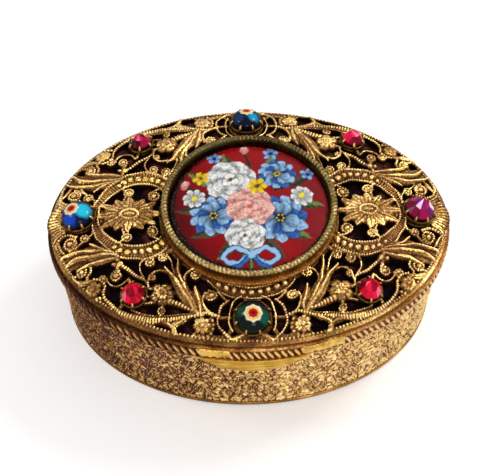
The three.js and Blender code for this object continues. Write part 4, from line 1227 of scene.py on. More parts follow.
def build_bottom():
    """The sheet that the box stands on, raised a little inside its flat rim."""

    def bottom(x, y, share, side):
        foot = np.interp(share, [0, 0.82, 0.86, 0.9, 1.0], [0.35, 0.35, 0.15, 0.0, 0.0])
        rough = 0.02 * noise(x, y, 5.0, 43) * (share < 0.85)
        return np.where(side > 0, 0.7, np.clip(foot + rough, 0, 1))

    rings = two_sided([0.001, 0.3, 0.6, 0.8, 0.83, 0.86, 0.88, 0.9, 0.96, 1.0])
    obj = oval_sheet("body_bottom_sheet", BODY_A, BODY_B, rings, bottom, 240, plain_metal, "body", 0.3)
    finished(obj, "aged_brass", "bottom_plate")


def build_backing():
    """The dark sheet behind the openwork, faded to brown towards the back."""

    def backing(x, y, share, side):
        return plate_height(x, y) - 1.2 - 0.3 * (side < 1)

    def faded(x, y):
        return 0.6 * rising(y, 6, 22)

    rings = two_sided([0.001, *np.linspace(0.1, 1.0, 19)])
    obj = oval_sheet(
        "lid_dark_backing", LID_A - 1.0, LID_B - 1.0, rings, backing, 180, dark_backing, "lid", faded,
    )
    finished(obj, "dark_backing", "lid_backing_sheet")


build_liner()
build_skirt()
build_bottom()
build_backing()


PAD_RINGS = two_sided([0.001, *np.linspace(0.12, 0.84, 7), 0.88, 0.91, 0.94, 0.96, 0.98, 0.99, 1.0])
PAD_CROWN = 0.8


def pillow(low, high, face):
    """Heights of a pad between low and high whose face side (1 up, 0 down) is crowned."""

    def surface(x, y, share, side):
        puffed = np.clip(1 - share**7, 0, 1) ** 0.5
        ripple = 0.05 * noise(x, y, 7.0, 44) * puffed
        thick = (high - low) * (1 - PAD_CROWN * (1 - puffed)) + ripple - 0.05
        if face:
            return np.where(side == face, low + thick, low)
        return np.where(side == face, high - thick, high)

    return surface


def build_floor_pad():
    a, b = BODY_A - 1.6, BODY_B - 1.6
    puffed = pillow(0.9, 1.9, 1)
    floor_pad = oval_sheet("body_floor_velvet_pad", a, b, PAD_RINGS, puffed, 160, velvet, "body")
    finished(floor_pad, "velvet", "floor_lining_pad")


def build_lid_pad():
    a, b = LID_A - 1.0, LID_B - 1.0
    puffed = pillow(25.6, 26.4, 0)
    lid_pad = oval_sheet("lid_velvet_pad", a, b, PAD_RINGS, puffed, 160, velvet, "lid")
    finished(lid_pad, "velvet", "lid_lining_pad")


def build_wall_velvet():
    """Cloth stretched round the inside of the liner."""
    cloth = [(-2.05, 2.1), (-1.6, 2.1), (-1.6, 24.4), (-1.75, 24.5), (-1.95, 24.5), (-2.05, 24.35)]
    wall = oval_ring("body_velvet_wall", BODY_A, BODY_B, cloth, 200, velvet, "body", 0.4)
    finished(wall, "velvet", "wall_lining")


build_floor_pad()
build_lid_pad()
build_wall_velvet()


# Turned pieces


def turned(profile, count, shape=None, closed=False):
    """Points and faces of a profile of (r, z) turned round the z axis, and each point's angle and
    row. shape(angle, row, r, z) may move the points."""
    profile = np.asarray(profile, float)
    A, K = swept(count, len(profile))
    R, Z = profile[K, 0], profile[K, 1]
    if shape:
        R, Z = shape(A, K, R, Z)
    faces = grid_faces(count, len(profile), True, closed)
    if not closed:
        faces = np.concatenate([faces, end_caps(count, len(profile))])
    return stacked(R * np.cos(A), R * np.sin(A), Z), faces, A.ravel(), K.ravel()


BEZEL_DASHES, RIM_MIDDLE = 124, 18.75
BEZEL_BAND = [
    (16.2, 0), (19.2, 0), (19.6, 0.12), (19.65, 0.4), (19.4, 0.65), (19.1, 1.0), (18.95, 1.6),
    (18.9, 2.3), (18.95, 2.8), (18.9, 3.05), (17.95, 3.05), (17.75, 2.4), (17.7, 1.6), (16.2, 1.6),
]
BEZEL_RIM = [
    (18.05, 3.1), (18.9, 3.1), (19.2, 3.3), (19.4, 3.55), (19.5, 3.75), (19.48, 3.95), (19.38, 4.15),
    (19.2, 4.32), (18.98, 4.42), (18.74, 4.44), (18.5, 4.4), (18.3, 4.28), (18.14, 4.1),
    (18.06, 3.85), (18.0, 3.5),
]


def rim_dashes(A, K):
    """0 in the middle of a nick and 1 between nicks, which slant over the rim."""
    return 0.5 + 0.5 * np.cos(A * BEZEL_DASHES + (K - 8) * 0.5)


def build_milled_rim():
    """The bezel's rim, with nicks filled with old dirt and with painted light and shade: lighter at the
    front, darker at the back and darker still on its inner side.
    """
    row = np.arange(len(BEZEL_RIM))
    milled = rising(np.minimum(row - 1, len(row) - row), 0, 3)

    def shape(A, K, R, Z):
        cut = 0.13 * milled[K] * (1 - rim_dashes(A, K) ** 0.6)
        return R - cut * np.sign(R - RIM_MIDDLE) * 0.6, Z - cut * 0.8

    verts, faces, A, K = turned(BEZEL_RIM, BEZEL_DASHES * 6, shape, True)
    x, y, _ = verts.T
    rubbed = 0.22 + 0.14 * noise(x, y, 5.0, 56)
    # Painted light and shade: lighter at the front, darker at the back, and darker on the inner rows next
    # to the enamel.
    wear_and_painted_light = 0.36 + rubbed * rim_dashes(A, K) ** 0.8 * milled[K] - 0.1 * np.sin(A)
    wear_and_painted_light = wear_and_painted_light - 0.14 * np.clip(np.sin(A), 0, 1) + 0.14 * noise(x, y, 0.8, 57) - 0.3 * (K > 12)
    tones = {"wear_and_painted_light": np.clip(wear_and_painted_light, 0, 1)}
    verts = verts + (0, 0, BEZEL_FOOT)
    rim = new_object("medallion_milled_rim", verts, faces, bezel_metal, "lid", tones, crease=70)
    finished(rim, "gilt_brass", "medallion_bezel")


def build_bezel_band():
    """The hollowed band under the rim, with painted light and shade: lighter at its bulge and towards the
    front right, darker up under the rim and on its inner side.
    """
    verts, faces, A, K = turned(BEZEL_BAND, 240, closed=True)
    # Painted shade: darker away from the bulge and dark on the inner side; the cosine below adds painted
    # light towards the front right.
    outside = np.where(K < 10, 0.5 - 0.05 * np.abs(K - 4), 0.05)
    tones = {"wear_and_painted_light": np.clip(outside + 0.16 * np.cos(A + 0.4), 0, 1)}
    verts = verts + (0, 0, BEZEL_FOOT)
    band = new_object("medallion_bezel_band", verts, faces, bezel_side_metal, "lid", tones, crease=70)
    finished(band, "gilt_brass", "medallion_bezel")


def dress_card():
    """The card under the enamel keeps its own solid."""
    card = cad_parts["medallion_packing_card"].data
    card.materials.clear()
    card.materials.append(card_material())


build_milled_rim()
build_bezel_band()
dress_card()


# The painted enamel: a bunch of flowers on a crimson ground


def blend(a, b, share):
    """Colours from a, at share 0, to b, at share 1."""
    return np.asarray(a) * (1 - share[:, None]) + np.asarray(b) * share[:, None]


class Painting:
    """Colours on points, laid on in strokes. Angles are in degrees."""

    def __init__(self, x, y):
        self.x = x + 0.16 * noise(x, y, 1.9, 58) + 0.04 * noise(x, y, 0.6, 59)
        self.y = y + 0.16 * noise(x, y, 1.9, 60) + 0.04 * noise(x, y, 0.6, 61)
        # The ground is painted darker at the left as painted shade and pinker at the right as a painted
        # sheen.
        ground_with_painted_light = np.array([srgb(90, 2, 6), srgb(122, 3, 10), srgb(150, 8, 16), srgb(134, 26, 30)])
        across = x + 0.25 * y
        self.brush = noise(x, 0.6 * y, 0.5, 62) + noise(x, y, 1.6, 63)
        mottle = 1 + 0.1 * noise(x, y, 8.0, 51) + 0.08 * noise(x, y, 0.7, 50)
        self.rgb = np.stack([np.interp(across, (-16, -12, 0, 14), c) * mottle for c in ground_with_painted_light.T], 1)

    def zoom(self, factor):
        """What is painted next comes out larger by this factor."""
        self.x, self.y = self.x / factor, self.y / factor

    def lay(self, cover, colour):
        self.rgb = blend(self.rgb, colour, np.clip(cover, 0, 1))

    def local(self, centre, angle, length):
        """Along and across a petal or leaf, the share of its length, and 1 between its ends."""
        dx, dy = self.x - centre[0], self.y - centre[1]
        along, across = turned_axes(dx, dy, math.radians(angle))
        return along, across, np.clip(along / length, 0, 1), (along > 0) * (along < length)

    def petal(self, centre, angle, length, width, inner, outer, shade, blunt=0.6, streaks=5.0):
        """A petal from its base at centre, darker where it goes under the next."""
        along, across, t, between = self.local(centre, angle, length)
        half = width / 2 * np.sin(np.pi * np.clip(t, 0.02, 0.995) ** (0.5 + blunt)) ** 0.6 + 1e-3
        s = across / half
        aside = np.abs(s)
        outline = rising(aside, 1.42, 1.22) * (along > 0) * (along < length + 0.15)
        self.lay(0.5 * outline, np.asarray(shade) * 0.5)
        stroke = 1 + 0.3 * np.sin(streaks * np.pi * s + 2 * np.sin(2.1 * along)) * (1 - 0.6 * t)
        stroke = stroke + 0.16 * self.brush
        mixed = blend(inner, outer, t) * stroke[:, None]
        mixed = blend(mixed, shade, 0.55 * rising(aside, 0.72, 1) * (s < 0))
        self.lay(rising(aside, 1.12, 0.88) * between, mixed)

    def leaf(self, centre, angle, length, width, light, dark, bend=0.0):
        """A leaf with a light half, a dark half and a midrib, bent to one side."""
        along, across, t, between = self.local(centre, angle, length)
        across = across - bend * 4 * t * (1 - t)
        half = width / 2 * np.sin(np.pi * t) ** 0.9 * (1 - 0.25 * t) + 1e-3
        aside = np.abs(across / half)
        cover = rising(aside, 1.1, 0.85) * between
        veins = 0.5 + 0.5 * np.sin(along * 5.2 - np.abs(across) * 5)
        tone = 0.45 + 0.4 * np.sign(across) * np.minimum(1, aside * 3) + 0.2 * veins
        self.lay(cover, blend(dark, light, np.clip(tone, 0, 1)))
        self.lay(cover * np.exp(-((across / 0.11) ** 2)) * 0.7, np.asarray(light) * 1.25)

    def line(self, points, width, colour, taper=(1.0, 1.0)):
        distance, along, total, _ = nearest(self.x, self.y, curve(points))
        half = width / 2 * np.interp(along / total, np.linspace(0, 1, len(taper)), taper)
        self.lay((half + 0.12 - distance) / 0.16, colour)

    def dot(self, centre, radius, colour):
        self.lay((radius + 0.1 - np.hypot(self.x - centre[0], self.y - centre[1])) / 0.2, colour)


BLUE_LIGHT, BLUE, NAVY = srgb(150, 192, 232), srgb(52, 100, 176), srgb(10, 16, 52)
WHITE, CREAM, SLATE = srgb(238, 238, 236), srgb(226, 214, 196), srgb(74, 84, 92)
BLUSH, PINK, ROSE_DEEP = srgb(236, 190, 176), srgb(224, 150, 136), srgb(186, 92, 88)
YELLOW, OCHRE, UMBER = srgb(240, 214, 38), srgb(190, 140, 20), srgb(92, 66, 48)
GREEN, GREEN_DARK = srgb(112, 132, 70), srgb(28, 44, 34)


def paint_rose(p, centre, size, light, middle, dark, turn=0.0):
    """A full rose: rings of petals that close on a dark heart."""
    rings = ((7, 1.0, 0.92), (6, 0.76, 0.74), (5, 0.52, 0.56), (3, 0.32, 0.38))
    for ring, (count, reach, width) in enumerate(rings):
        inner = dark if ring < 3 else middle
        for k in range(count):
            angle = turn + 360 * k / count + 27 * ring
            p.petal(centre, angle, size * reach, size * width, inner, light, dark, 0.9)
    p.dot(centre, size * 0.1, dark)


def paint_cornflower(p, centre, size, turn=0.0):
    """A blue bloom: two rings of narrow petals with a dark, gold-dotted heart."""
    for ring, (count, reach) in enumerate(((11, 1.0), (9, 0.7))):
        for k in range(count):
            angle = turn + 360 * k / count + 17 * ring
            tip = BLUE_LIGHT if k % 3 else BLUE
            p.petal(centre, angle, size * reach, size * 0.5, NAVY, tip, NAVY, 1.3, 3.0)
    p.dot(centre, size * 0.2, NAVY)
    for k in range(6):
        p.dot(on_circle(centre, 0.13 * size, 2 * np.pi * k / 6), 0.16, YELLOW)


def paint_daisy(p, centre, size, petals, colour, shade, heart, turn=0.0):
    for k in range(petals):
        p.petal(centre, turn + 360 * k / petals, size, size * 0.62, shade, colour, shade, 1.1, 2.0)
    p.dot(centre, size * 0.24, heart)


def paint_stems_and_leaves(p):
    stems = (
        ((-1.2, -4), (-0.6, -9), (-2.4, -14.2)), ((1.6, -4), (0.5, -9), (2.2, -14.4)),
        ((0.2, -4), (0, -9), (0.1, -14.8)),
    )
    for stem in stems:
        p.line(stem, 0.75, GREEN_DARK)
        p.line(stem, 0.35, GREEN)
    sprays = (
        ((-3, 4), (-6.4, 11.4)), ((2, 6), (4.4, 12.4)), ((5, 3), (11.2, 7.2)),
        ((-5, 0), (-12.2, 4.6)), ((0, 6), (-0.8, 12.9)),
    )
    for base, tip in sprays:
        p.line((base, ((base[0] + tip[0]) / 2 + 0.6, (base[1] + tip[1]) / 2), tip), 0.5, GREEN_DARK)
    leaves = (
        (-3, -3.5, 205, 8.6, 3.2, 0.5), (3.4, -3.5, -28, 8.8, 3.2, -0.5), (-5.2, 4.2, 148, 7.4, 2.8, 0.4),
        (6, 3.8, 34, 7.2, 2.7, -0.4), (-2, 6, 112, 7.2, 2.5, 0.3), (2.6, 7, 62, 6.6, 2.4, -0.3),
        (-5.5, -0.5, 184, 8.2, 2.6, 0.4), (6.8, -0.6, 2, 7.2, 2.6, 0.4), (-2.2, -7, 232, 6.2, 2.3, 0.3),
        (2.8, -7, -54, 6.0, 2.2, -0.3),
    )
    for k, (x, y, angle, length, width, bend) in enumerate(leaves):
        p.leaf((x, y), angle, length, width, GREEN if k % 3 else UMBER, GREEN_DARK, bend)


def paint_ribbon(p):
    knot = (0.2, -11.1)
    for way in (-1, 1):
        loop = (knot, (way * 2.9, -9.7), (way * 4.9, -11.5), (way * 2.7, -12.8), knot)
        tail = (knot, (way * 1.9, -13.1), (way * 4.7, -14.1))
        p.line(loop, 1.15, NAVY)
        p.line(loop, 0.75, BLUE_LIGHT)
        p.line(tail, 0.95, NAVY)
        p.line(tail, 0.6, BLUE)
    p.dot(knot, 0.75, BLUE_LIGHT)


BOUQUET_SIZE = 1.2


def paint_bouquet(p):
    p.zoom(BOUQUET_SIZE)
    paint_stems_and_leaves(p)
    for x, y, size in ((-6.4, 11.4, 1.5), (4.4, 12.4, 1.6), (11.2, 7.2, 1.4)):
        paint_daisy(p, (x, y), size, 5, BLUE_LIGHT, BLUE, NAVY, 20 * x)
    for x, y in ((-12.2, 4.6), (-0.8, 12.9)):
        p.petal((x, y - 0.8), 80, 2.4, 1.5, ROSE_DEEP, BLUSH, ROSE_DEEP)
    paint_cornflower(p, (5.6, -3.4), 5.2, 10)
    paint_cornflower(p, (-6.6, -2.6), 4.4, 32)
    paint_cornflower(p, (5.4, 7.0), 3.7, 4)
    paint_rose(p, (-3.4, 5.6), 5.0, WHITE, CREAM, SLATE, 15)
    paint_rose(p, (0.1, -0.9), 4.5, BLUSH, PINK, ROSE_DEEP, 40)
    paint_rose(p, (-0.9, -7.2), 3.7, WHITE, CREAM, SLATE, 70)
    paint_daisy(p, (9.8, 1.8), 2.3, 8, WHITE, SLATE, YELLOW, 12)
    paint_daisy(p, (-10.2, 1.6), 2.2, 8, WHITE, SLATE, YELLOW, 30)
    paint_daisy(p, (1.6, 4.0), 1.9, 6, YELLOW, OCHRE, UMBER)
    paint_daisy(p, (-8.9, 6.4), 1.7, 5, YELLOW, OCHRE, UMBER, 40)
    paint_ribbon(p)
    p.zoom(1 / BOUQUET_SIZE)


def paint_worn_edge(p):
    """A black rough ring and chips where the enamel meets the bezel, wider at the front left."""
    r, angle = np.hypot(p.x, p.y), np.arctan2(p.y, p.x)
    width = 0.72 + 0.5 * np.cos(angle - math.radians(205))
    rough = 0.22 * noise(p.x, p.y, 0.6, 52) + 0.2 * noise(p.x, p.y, 2.4, 53)
    p.lay((r - (ENAMEL_RADIUS - width) + rough) / 0.5, srgb(14, 5, 7))
    specks = noise(p.x, p.y, 0.5, 54)
    p.lay((specks - 0.3) / 0.4 * (r > 17.5 - 0.7 * width) * 0.7, srgb(88, 76, 60))
    chips = specks * noise(p.x, p.y, 1.3, 55)
    p.lay((chips - 0.62) / 0.1 * (r > 13.5), srgb(44, 12, 14))


ENAMEL_RADIUS, ENAMEL_FOOT, ENAMEL_EDGE, ENAMEL_RISE = 17.4, 32.65, 33.2, 1.3
ENAMEL_REACH, ENAMEL_STEP = 17.6, 0.19


def build_enamel():
    """A shallow dome whose points are fine enough to carry the painting."""
    x = np.arange(-ENAMEL_REACH, ENAMEL_REACH + 0.01, ENAMEL_STEP)
    X, Y = np.meshgrid(x, x, indexing="ij")
    radius = np.hypot(X, Y)
    H = ENAMEL_EDGE + ENAMEL_RISE * np.clip(1 - (radius / ENAMEL_RADIUS) ** 2, 0, None)
    verts, faces, inside, _ = sheet_mesh(
        X, Y, H, radius - ENAMEL_RADIUS, ENAMEL_STEP, stacked, -ENAMEL_FOOT,
    )
    p = Painting(*verts[:inside.sum(), :2].T)
    paint_bouquet(p)
    paint_worn_edge(p)
    paint = {"paint": np.tile(p.rgb, (2, 1))}
    disc = new_object("enamel_flower_disc", verts, faces, enamel, "lid", paint, crease=50)
    finished(disc, "enamel", "enamel_disc")


build_enamel()


# Stones and their claw settings

# Radius and height of each kind of stone
CABOCHON, END_STONE, CORNER_STONE = (3.6, 2.6), (3.3, 2.2), (2.5, 1.9)
STONE_FOOT = 1.1


def on_dome(verts, x, y, lift=0.0):
    """Points moved from upright at the middle of the box to a seat on the lid's dome."""
    step = 0.5
    sx = (plate_height(x + step, y) - plate_height(x - step, y)) / (2 * step)
    sy = (plate_height(x, y + step) - plate_height(x, y - step)) / (2 * step)
    normal = Vector((-sx, -sy, 1)).normalized()
    turn = np.array(Vector((0, 0, 1)).rotation_difference(normal).to_matrix())
    foot = np.array([x, y, float(plate_height(x, y))]) + 0.3 * np.array(normal)
    return (verts + (0, 0, lift)) @ turn.T + foot


def prong(path, widths, thick):
    """A rounded claw along a path of (r, z) points in the plane of x and z."""
    path = np.asarray(path, float)
    along = np.gradient(path, axis=0)
    along /= np.hypot(along[:, 0], along[:, 1])[:, None]
    verts = []
    for (r, z), (dr, dz), w in zip(path, along, widths):
        for a in np.linspace(0, 2 * np.pi, 8, endpoint=False):
            out = thick / 2 * math.cos(a)
            verts.append((r + dz * out, w / 2 * math.sin(a), z - dr * out))
    last = (len(path) - 1) * 8
    sides = grid_faces(len(path), 8, False, True)
    ends = [(0, 1, 2, 3), (4, 5, 6, 7), (0, 3, 4, 7)]
    ends += [(last + d, last + c, last + b, last + a) for a, b, c, d in ends]
    return np.array(verts), np.concatenate([sides, ends])


def build_setting(name, spot, radius, height, claws):
    """A low cup with a rolled rim, and claws that lean in over the stone."""
    rim = radius + 0.5
    cup = [
        (0.01, 0), (radius * 0.75, 0), (rim - 0.35, 0.2), (rim - 0.05, 0.45), (rim, 0.7),
        (rim - 0.05, 0.92), (rim - 0.25, 1.0), (rim - 0.42, 0.95), (rim - 0.48, 0.8), (0.01, 0.8),
    ]
    parts = [turned(cup, 72)[:2]]
    lean = height * 0.42
    path = [
        (rim - 0.1, 0.3), (rim + 0.02, 0.8), (rim + 0.02, 1.25), (rim - 0.14, 1.25 + lean * 0.5),
        (rim - 0.4, 1.25 + lean * 0.85), (rim - 0.68, 1.22 + lean),
    ]
    claw = prong(path, (0.8, 0.75, 0.66, 0.56, 0.46, 0.3), 0.36)
    for k in range(claws):
        a = 2 * np.pi * (k + 0.5) / claws
        spin = np.array([[math.cos(a), -math.sin(a), 0], [math.sin(a), math.cos(a), 0], [0, 0, 1]])
        parts.append((claw[0] @ spin.T, claw[1]))
    verts, faces = joined(parts)
    z = verts[:, 2]
    tones = {"wear_and_painted_light": np.clip(0.12 + 0.36 * z / z.max() + 0.15 * (z > 1.5), 0, 1)}
    verts = on_dome(verts, *spot)
    obj = new_object(f"claw_setting_{name}", verts, faces, setting_metal, "lid", tones, crease=60)
    finished(obj, "gilt_brass", f"setting_{name}")


def cane_flower(x, y, ground, patches, place, size):
    """Colours of a dark glass dome with soft (x, y, radius, colour) patches, some of them painted light,
    and a cane flower.
    """
    rgb = np.asarray(ground) * np.ones((len(x), 1))
    wobble = 0.16 * noise(x, y, 1.8, 61)
    layers = []
    for px, py, reach, colour in patches:
        layers.append((np.hypot(x - px, y - py) + wobble, reach, 0.8, colour))
    fx, fy = x - place[0], y - place[1]
    scallop = 1 + 0.06 * np.cos(8 * np.arctan2(fy, fx))
    r = np.hypot(fx, fy) / size
    rings = (
        (1.9, srgb(250, 236, 200)), (1.5, srgb(236, 176, 44)), (1.3, srgb(250, 226, 130)),
        (1.08, srgb(190, 10, 24)), (0.42, srgb(112, 2, 12)),
    )
    layers += [(r, reach * scallop, 0.12, colour) for reach, colour in rings]
    for distance, reach, soft, colour in layers:
        rgb = blend(rgb, colour, np.clip((reach - distance) / soft, 0, 1))
    return rgb


def build_cabochon(name, spot, slot, *pattern):
    radius, height = CABOCHON
    tilt = np.linspace(0.12, math.pi / 2 - 0.004, 26)
    profile = [(0.01, 0), (radius * 0.9, 0), (radius * 0.97, 0.15)]
    profile += [(radius * math.cos(a), 0.42 + (height - 0.42) * math.sin(a)) for a in tilt]
    verts, faces, _, _ = turned(profile, 96)
    paint = {"paint": cane_flower(verts[:, 0], verts[:, 1], *pattern)}
    verts = on_dome(verts, *spot, STONE_FOOT)
    obj = new_object(f"cabochon_{name}", verts, faces, cabochon_glass, "lid", paint, crease=50)
    finished(obj, slot, f"stone_{name}")


def build_cut_stone(name, spot, slot, size, tones, painted_glint, seed):
    """A round stone with a table, eight wide and eight three-cornered facets, and a girdle.
    tones are dark, main, bright and a painted highlight; the angle after them is the side, in degrees,
    towards which the facets are painted brighter and where the highlight shows."""
    radius, height = size
    levels = ((8, 0.54, 1.0, 0.5), (16, 0.97, 0.34, 1.5), (16, 1.0, 0.18, 1.5), (16, 0.92, 0.0, 1.5))
    verts, rings = [], []
    for count, reach, level, shift in levels:
        rings.append(range(len(verts), len(verts) + count))
        for k in range(count):
            a = 2 * np.pi * (k + shift) / count + 0.2 * seed
            verts.append((*on_circle((0, 0), radius * reach, a), height * level))
    table, crown, girdle, base = rings
    rng = np.random.default_rng(seed)
    dark, main, bright, painted_flash = np.asarray(tones)

    def tone(step):
        """A facet's colour, with painted light: brighter towards one side, and the facet nearest that
        side takes the fourth tone as a painted highlight.
        """
        turned_by = 2 * np.pi * step / 16 + 0.2 * seed - math.radians(painted_glint)
        share = 0.5 + 0.5 * math.cos(turned_by) + rng.uniform(-0.3, 0.3)
        if math.cos(turned_by) > 0.93:
            return painted_flash
        return dark + (main - dark) * rising(share, 0, 0.5) + (bright - main) * rising(share, 0.5, 1)

    quads, tris, quad_tones, tri_tones = [], [], [], []
    for k in range(8):
        n = (k + 1) % 8
        quads.append((table[k], crown[2 * k], crown[2 * k + 1], table[n]))
        quad_tones.append(tone(2 * k + 2))
        tris.append((table[n], crown[2 * k + 1], crown[(2 * k + 2) % 16]))
        tri_tones.append(tone(2 * k + 3))
    for low, high in ((girdle, crown), (base, girdle)):
        for k in range(16):
            n = (k + 1) % 16
            quads.append((low[k], low[n], high[n], high[k]))
            quad_tones.append(dark)
    for ring, up in ((table, True), (base, False)):
        for k in range(1, len(ring) - 1):
            tris.append((ring[0], ring[k], ring[k + 1]) if up else (ring[0], ring[k + 1], ring[k]))
            tri_tones.append(tone(2 * k + 9) if up else dark)
    faces = (np.array(quads), np.array(tris))
    verts = on_dome(np.array(verts), *spot, STONE_FOOT)
    obj = new_object(
        f"cut_stone_{name}", verts, faces, cut_glass, "lid", facets={"paint": quad_tones + tri_tones},
        smooth=False,
    )
    finished(obj, slot, f"stone_{name}")


def build_cabochons():
    """Three domed stones. Each has its ground, its soft patches, and its flower's place and size."""
    stones = (
        (
            "front", (0, -MIDDLE_STONE_Y), "green_glass", srgb(4, 18, 16),
            ((-2.4, 0.7, 1.5, srgb(0, 70, 44)), (2.4, -0.7, 1.7, srgb(0, 84, 72))), (0.1, 0.1), 1.0,
        ),
        (
            "back", (0, MIDDLE_STONE_Y), "blue_glass", srgb(4, 8, 30),
            # The azure patch on the right is painted light through the glass.
            ((1.6, -1.0, 1.6, srgb(20, 150, 196)), (-1.7, -1.4, 1.4, srgb(10, 52, 104))),
            (0.1, 1.1), 0.9,
        ),
        (
            "left", (-END_STONE_X, 0), "turquoise_glass", srgb(6, 14, 56),
            # The azure patch on the right is painted light through the glass.
            ((1.7, -0.1, 2.1, srgb(34, 190, 226)), (-1.2, -1.9, 1.9, srgb(16, 72, 190))),
            (-0.9, 0.55), 0.92,
        ),
    )
    for name, spot, slot, *pattern in stones:
        build_setting(name, spot, *CABOCHON, 8)
        build_cabochon(name, spot, slot, *pattern)


def build_end_stone():
    spot = (END_STONE_X, 0)
    # The fourth colour is painted on one facet as a highlight.
    purple = (srgb(96, 0, 40), srgb(178, 0, 74), srgb(104, 20, 104), srgb(255, 214, 240))
    build_setting("right", spot, *END_STONE, 8)
    build_cut_stone("right", spot, "purple_glass", END_STONE, purple, 20, 4)


def build_corner_stones():
    # The fourth colour of each set is painted on one facet as a highlight.
    red = (srgb(120, 0, 22), srgb(220, 0, 40), srgb(255, 24, 74), srgb(255, 110, 140))
    ruby = (srgb(60, 0, 16), srgb(150, 0, 50), srgb(206, 8, 80), srgb(236, 96, 140))
    pink = (srgb(120, 0, 34), srgb(226, 0, 62), srgb(255, 30, 96), srgb(255, 130, 164))
    # Each corner gives its tones, the side of its painted highlight in degrees, and a seed.
    corners = (
        ("front_left", -1, -1, red, 200, 5), ("front_right", 1, -1, red, 330, 6),
        ("back_left", -1, 1, ruby, 40, 7), ("back_right", 1, 1, pink, 120, 8),
    )
    for name, sx, sy, tones, painted_glint, seed in corners:
        spot = (CORNER_STONE_X * sx, CORNER_STONE_Y * sy)
        build_setting(name, spot, *CORNER_STONE, 6)
        build_cut_stone(name, spot, "red_glass", CORNER_STONE, tones, painted_glint, seed)


build_cabochons()
build_end_stone()
build_corner_stones()


# Thumb lip and hinge

LIP_HALF, LIP_TOP, LIP_DROP = 11.6, 23.85, 2.75


def build_lip():
    """A crescent that hangs from the front of the skirt and flares outwards. Its section is
    (base, reach, drop): how far out it starts, how much it flares and how low it hangs."""
    t, s = round_table(LID_A, LID_B)
    x = np.linspace(-LIP_HALF, LIP_HALF, 121)
    share = np.clip(1 - (x / LIP_HALF) ** 2, 0.03, 1)
    angle = np.interp(x % s[-1], s, t)
    section = (
        (0.2, 0, 0.0), (0.2, 0.45, 0.5), (0.2, 0.75, 0.9), (0.2, 0.9, 1.0), (0.32, 1.05, 1.0),
        (0.5, 1.1, 0.93), (0.62, 0.95, 0.8), (0.62, 0.7, 0.5), (0.6, 0.42, 0.2), (0.56, 0.16, 0.0),
    )
    rows = []
    for base, reach, drop in section:
        X, Y = oval_points(LID_A, LID_B, angle, 0.02 + base + reach * share)
        rows.append(stacked(X, Y, LIP_TOP - 0.25 * (drop > 0) - LIP_DROP * drop * share))
    verts = np.stack(rows, 1).reshape(-1, 3)
    n, last = len(section), (len(x) - 1) * len(section)
    faces = grid_faces(len(x), n, False, True)
    faces = np.concatenate([faces, cap(n), last + cap(n)[:, ::-1]])
    obj = new_object("lid_thumb_crescent", verts, faces, lip_metal, "lid", crease=50)
    finished(obj, "gilt_brass", "thumb_lip")


build_lip()


HINGE_Y, HINGE_Z, HINGE_HALF = 34.9, 23.15, 10.0
KNUCKLES, KNUCKLE_RADIUS, KNUCKLE_GAP = 5, 0.98, 0.08
BORE_RADIUS, PIN_RADIUS, PIN_END = 0.56, 0.5, 0.4
LEAF_BACK, WEB_FRONT = 33.6, 33.3


def rounded_rod(radius, x0, x1, bevel, bore=0.0):
    """A rod along x with rounded ends, hollow if it has a bore."""
    core = bore or 0.001
    shoulder = 0.3 * bevel
    profile = [
        (core, x0), (radius - bevel, x0), (radius - shoulder, x0 + shoulder), (radius, x0 + bevel),
        (radius, x1 - bevel), (radius - shoulder, x1 - shoulder), (radius - bevel, x1), (core, x1),
    ]
    verts, faces, _, _ = turned(profile, 32, closed=bool(bore))
    return verts[:, [2, 0, 1]] + [0, HINGE_Y, HINGE_Z], faces


def block(x0, x1, y0, y1, z0, z1, bevel=0.12):
    """A slab across the hinge, its outer long edges bevelled."""
    ring = [(y0, z0), (y1 - bevel, z0), (y1, z0 + bevel), (y1, z1 - bevel), (y1 - bevel, z1), (y0, z1)]
    verts = [(x, y, z) for x in (x0, x1) for y, z in ring]
    faces = [(k, (k + 1) % 6, (k + 1) % 6 + 6, k + 6) for k in range(6)]
    faces += [(5, 4, 1, 0), (4, 3, 2, 1), (6, 7, 10, 11), (7, 8, 9, 10)]
    return verts, faces


def build_hinge_leaf(body, up, first, wall, reach):
    """A plate on the wall, with every second knuckle on webs. up is 1 if it rises, -1 if it hangs."""
    pitch = 2 * HINGE_HALF / KNUCKLES
    plate = sorted((HINGE_Z + up * 0.8, HINGE_Z + up * reach))
    web = sorted((HINGE_Z + up * 0.35, HINGE_Z + up * 1.05))
    parts = [block(-HINGE_HALF, HINGE_HALF, wall + 0.02, LEAF_BACK, *plate)]
    for k in range(first, KNUCKLES, 2):
        x0 = -HINGE_HALF + k * pitch + KNUCKLE_GAP
        x1 = x0 + pitch - 2 * KNUCKLE_GAP
        parts.append(rounded_rod(KNUCKLE_RADIUS, x0, x1, 0.1, BORE_RADIUS))
        parts.append(block(x0, x1, WEB_FRONT, HINGE_Y - 0.1, *web, 0.05))
    verts, faces = joined(parts)
    tones = {"wear_and_painted_light": 0.45 + 0.12 * noise(verts[:, 0], verts[:, 2], 3.0, 71)}
    obj = new_object(f"hinge_{body}_plate", verts, faces, hinge_metal, body, tones, crease=35)
    finished(obj, "aged_brass", f"hinge_leaf_{body}")


def build_hinge_pin():
    verts, faces = rounded_rod(PIN_RADIUS, -HINGE_HALF - PIN_END, HINGE_HALF + PIN_END, 0.25)
    tones = {"wear_and_painted_light": np.full(len(verts), 0.6)}
    obj = new_object("hinge_round_pin", verts, faces, hinge_metal, "body", tones, crease=35)
    finished(obj, "aged_brass", "hinge_pin")


build_hinge_leaf("lid", 1, 1, LID_B, 3.4)
build_hinge_leaf("body", -1, 0, BODY_B, 3.9)
build_hinge_pin()


# Floor, camera and light; the floor and the lamps are in metres

FLOOR_HALF = 4


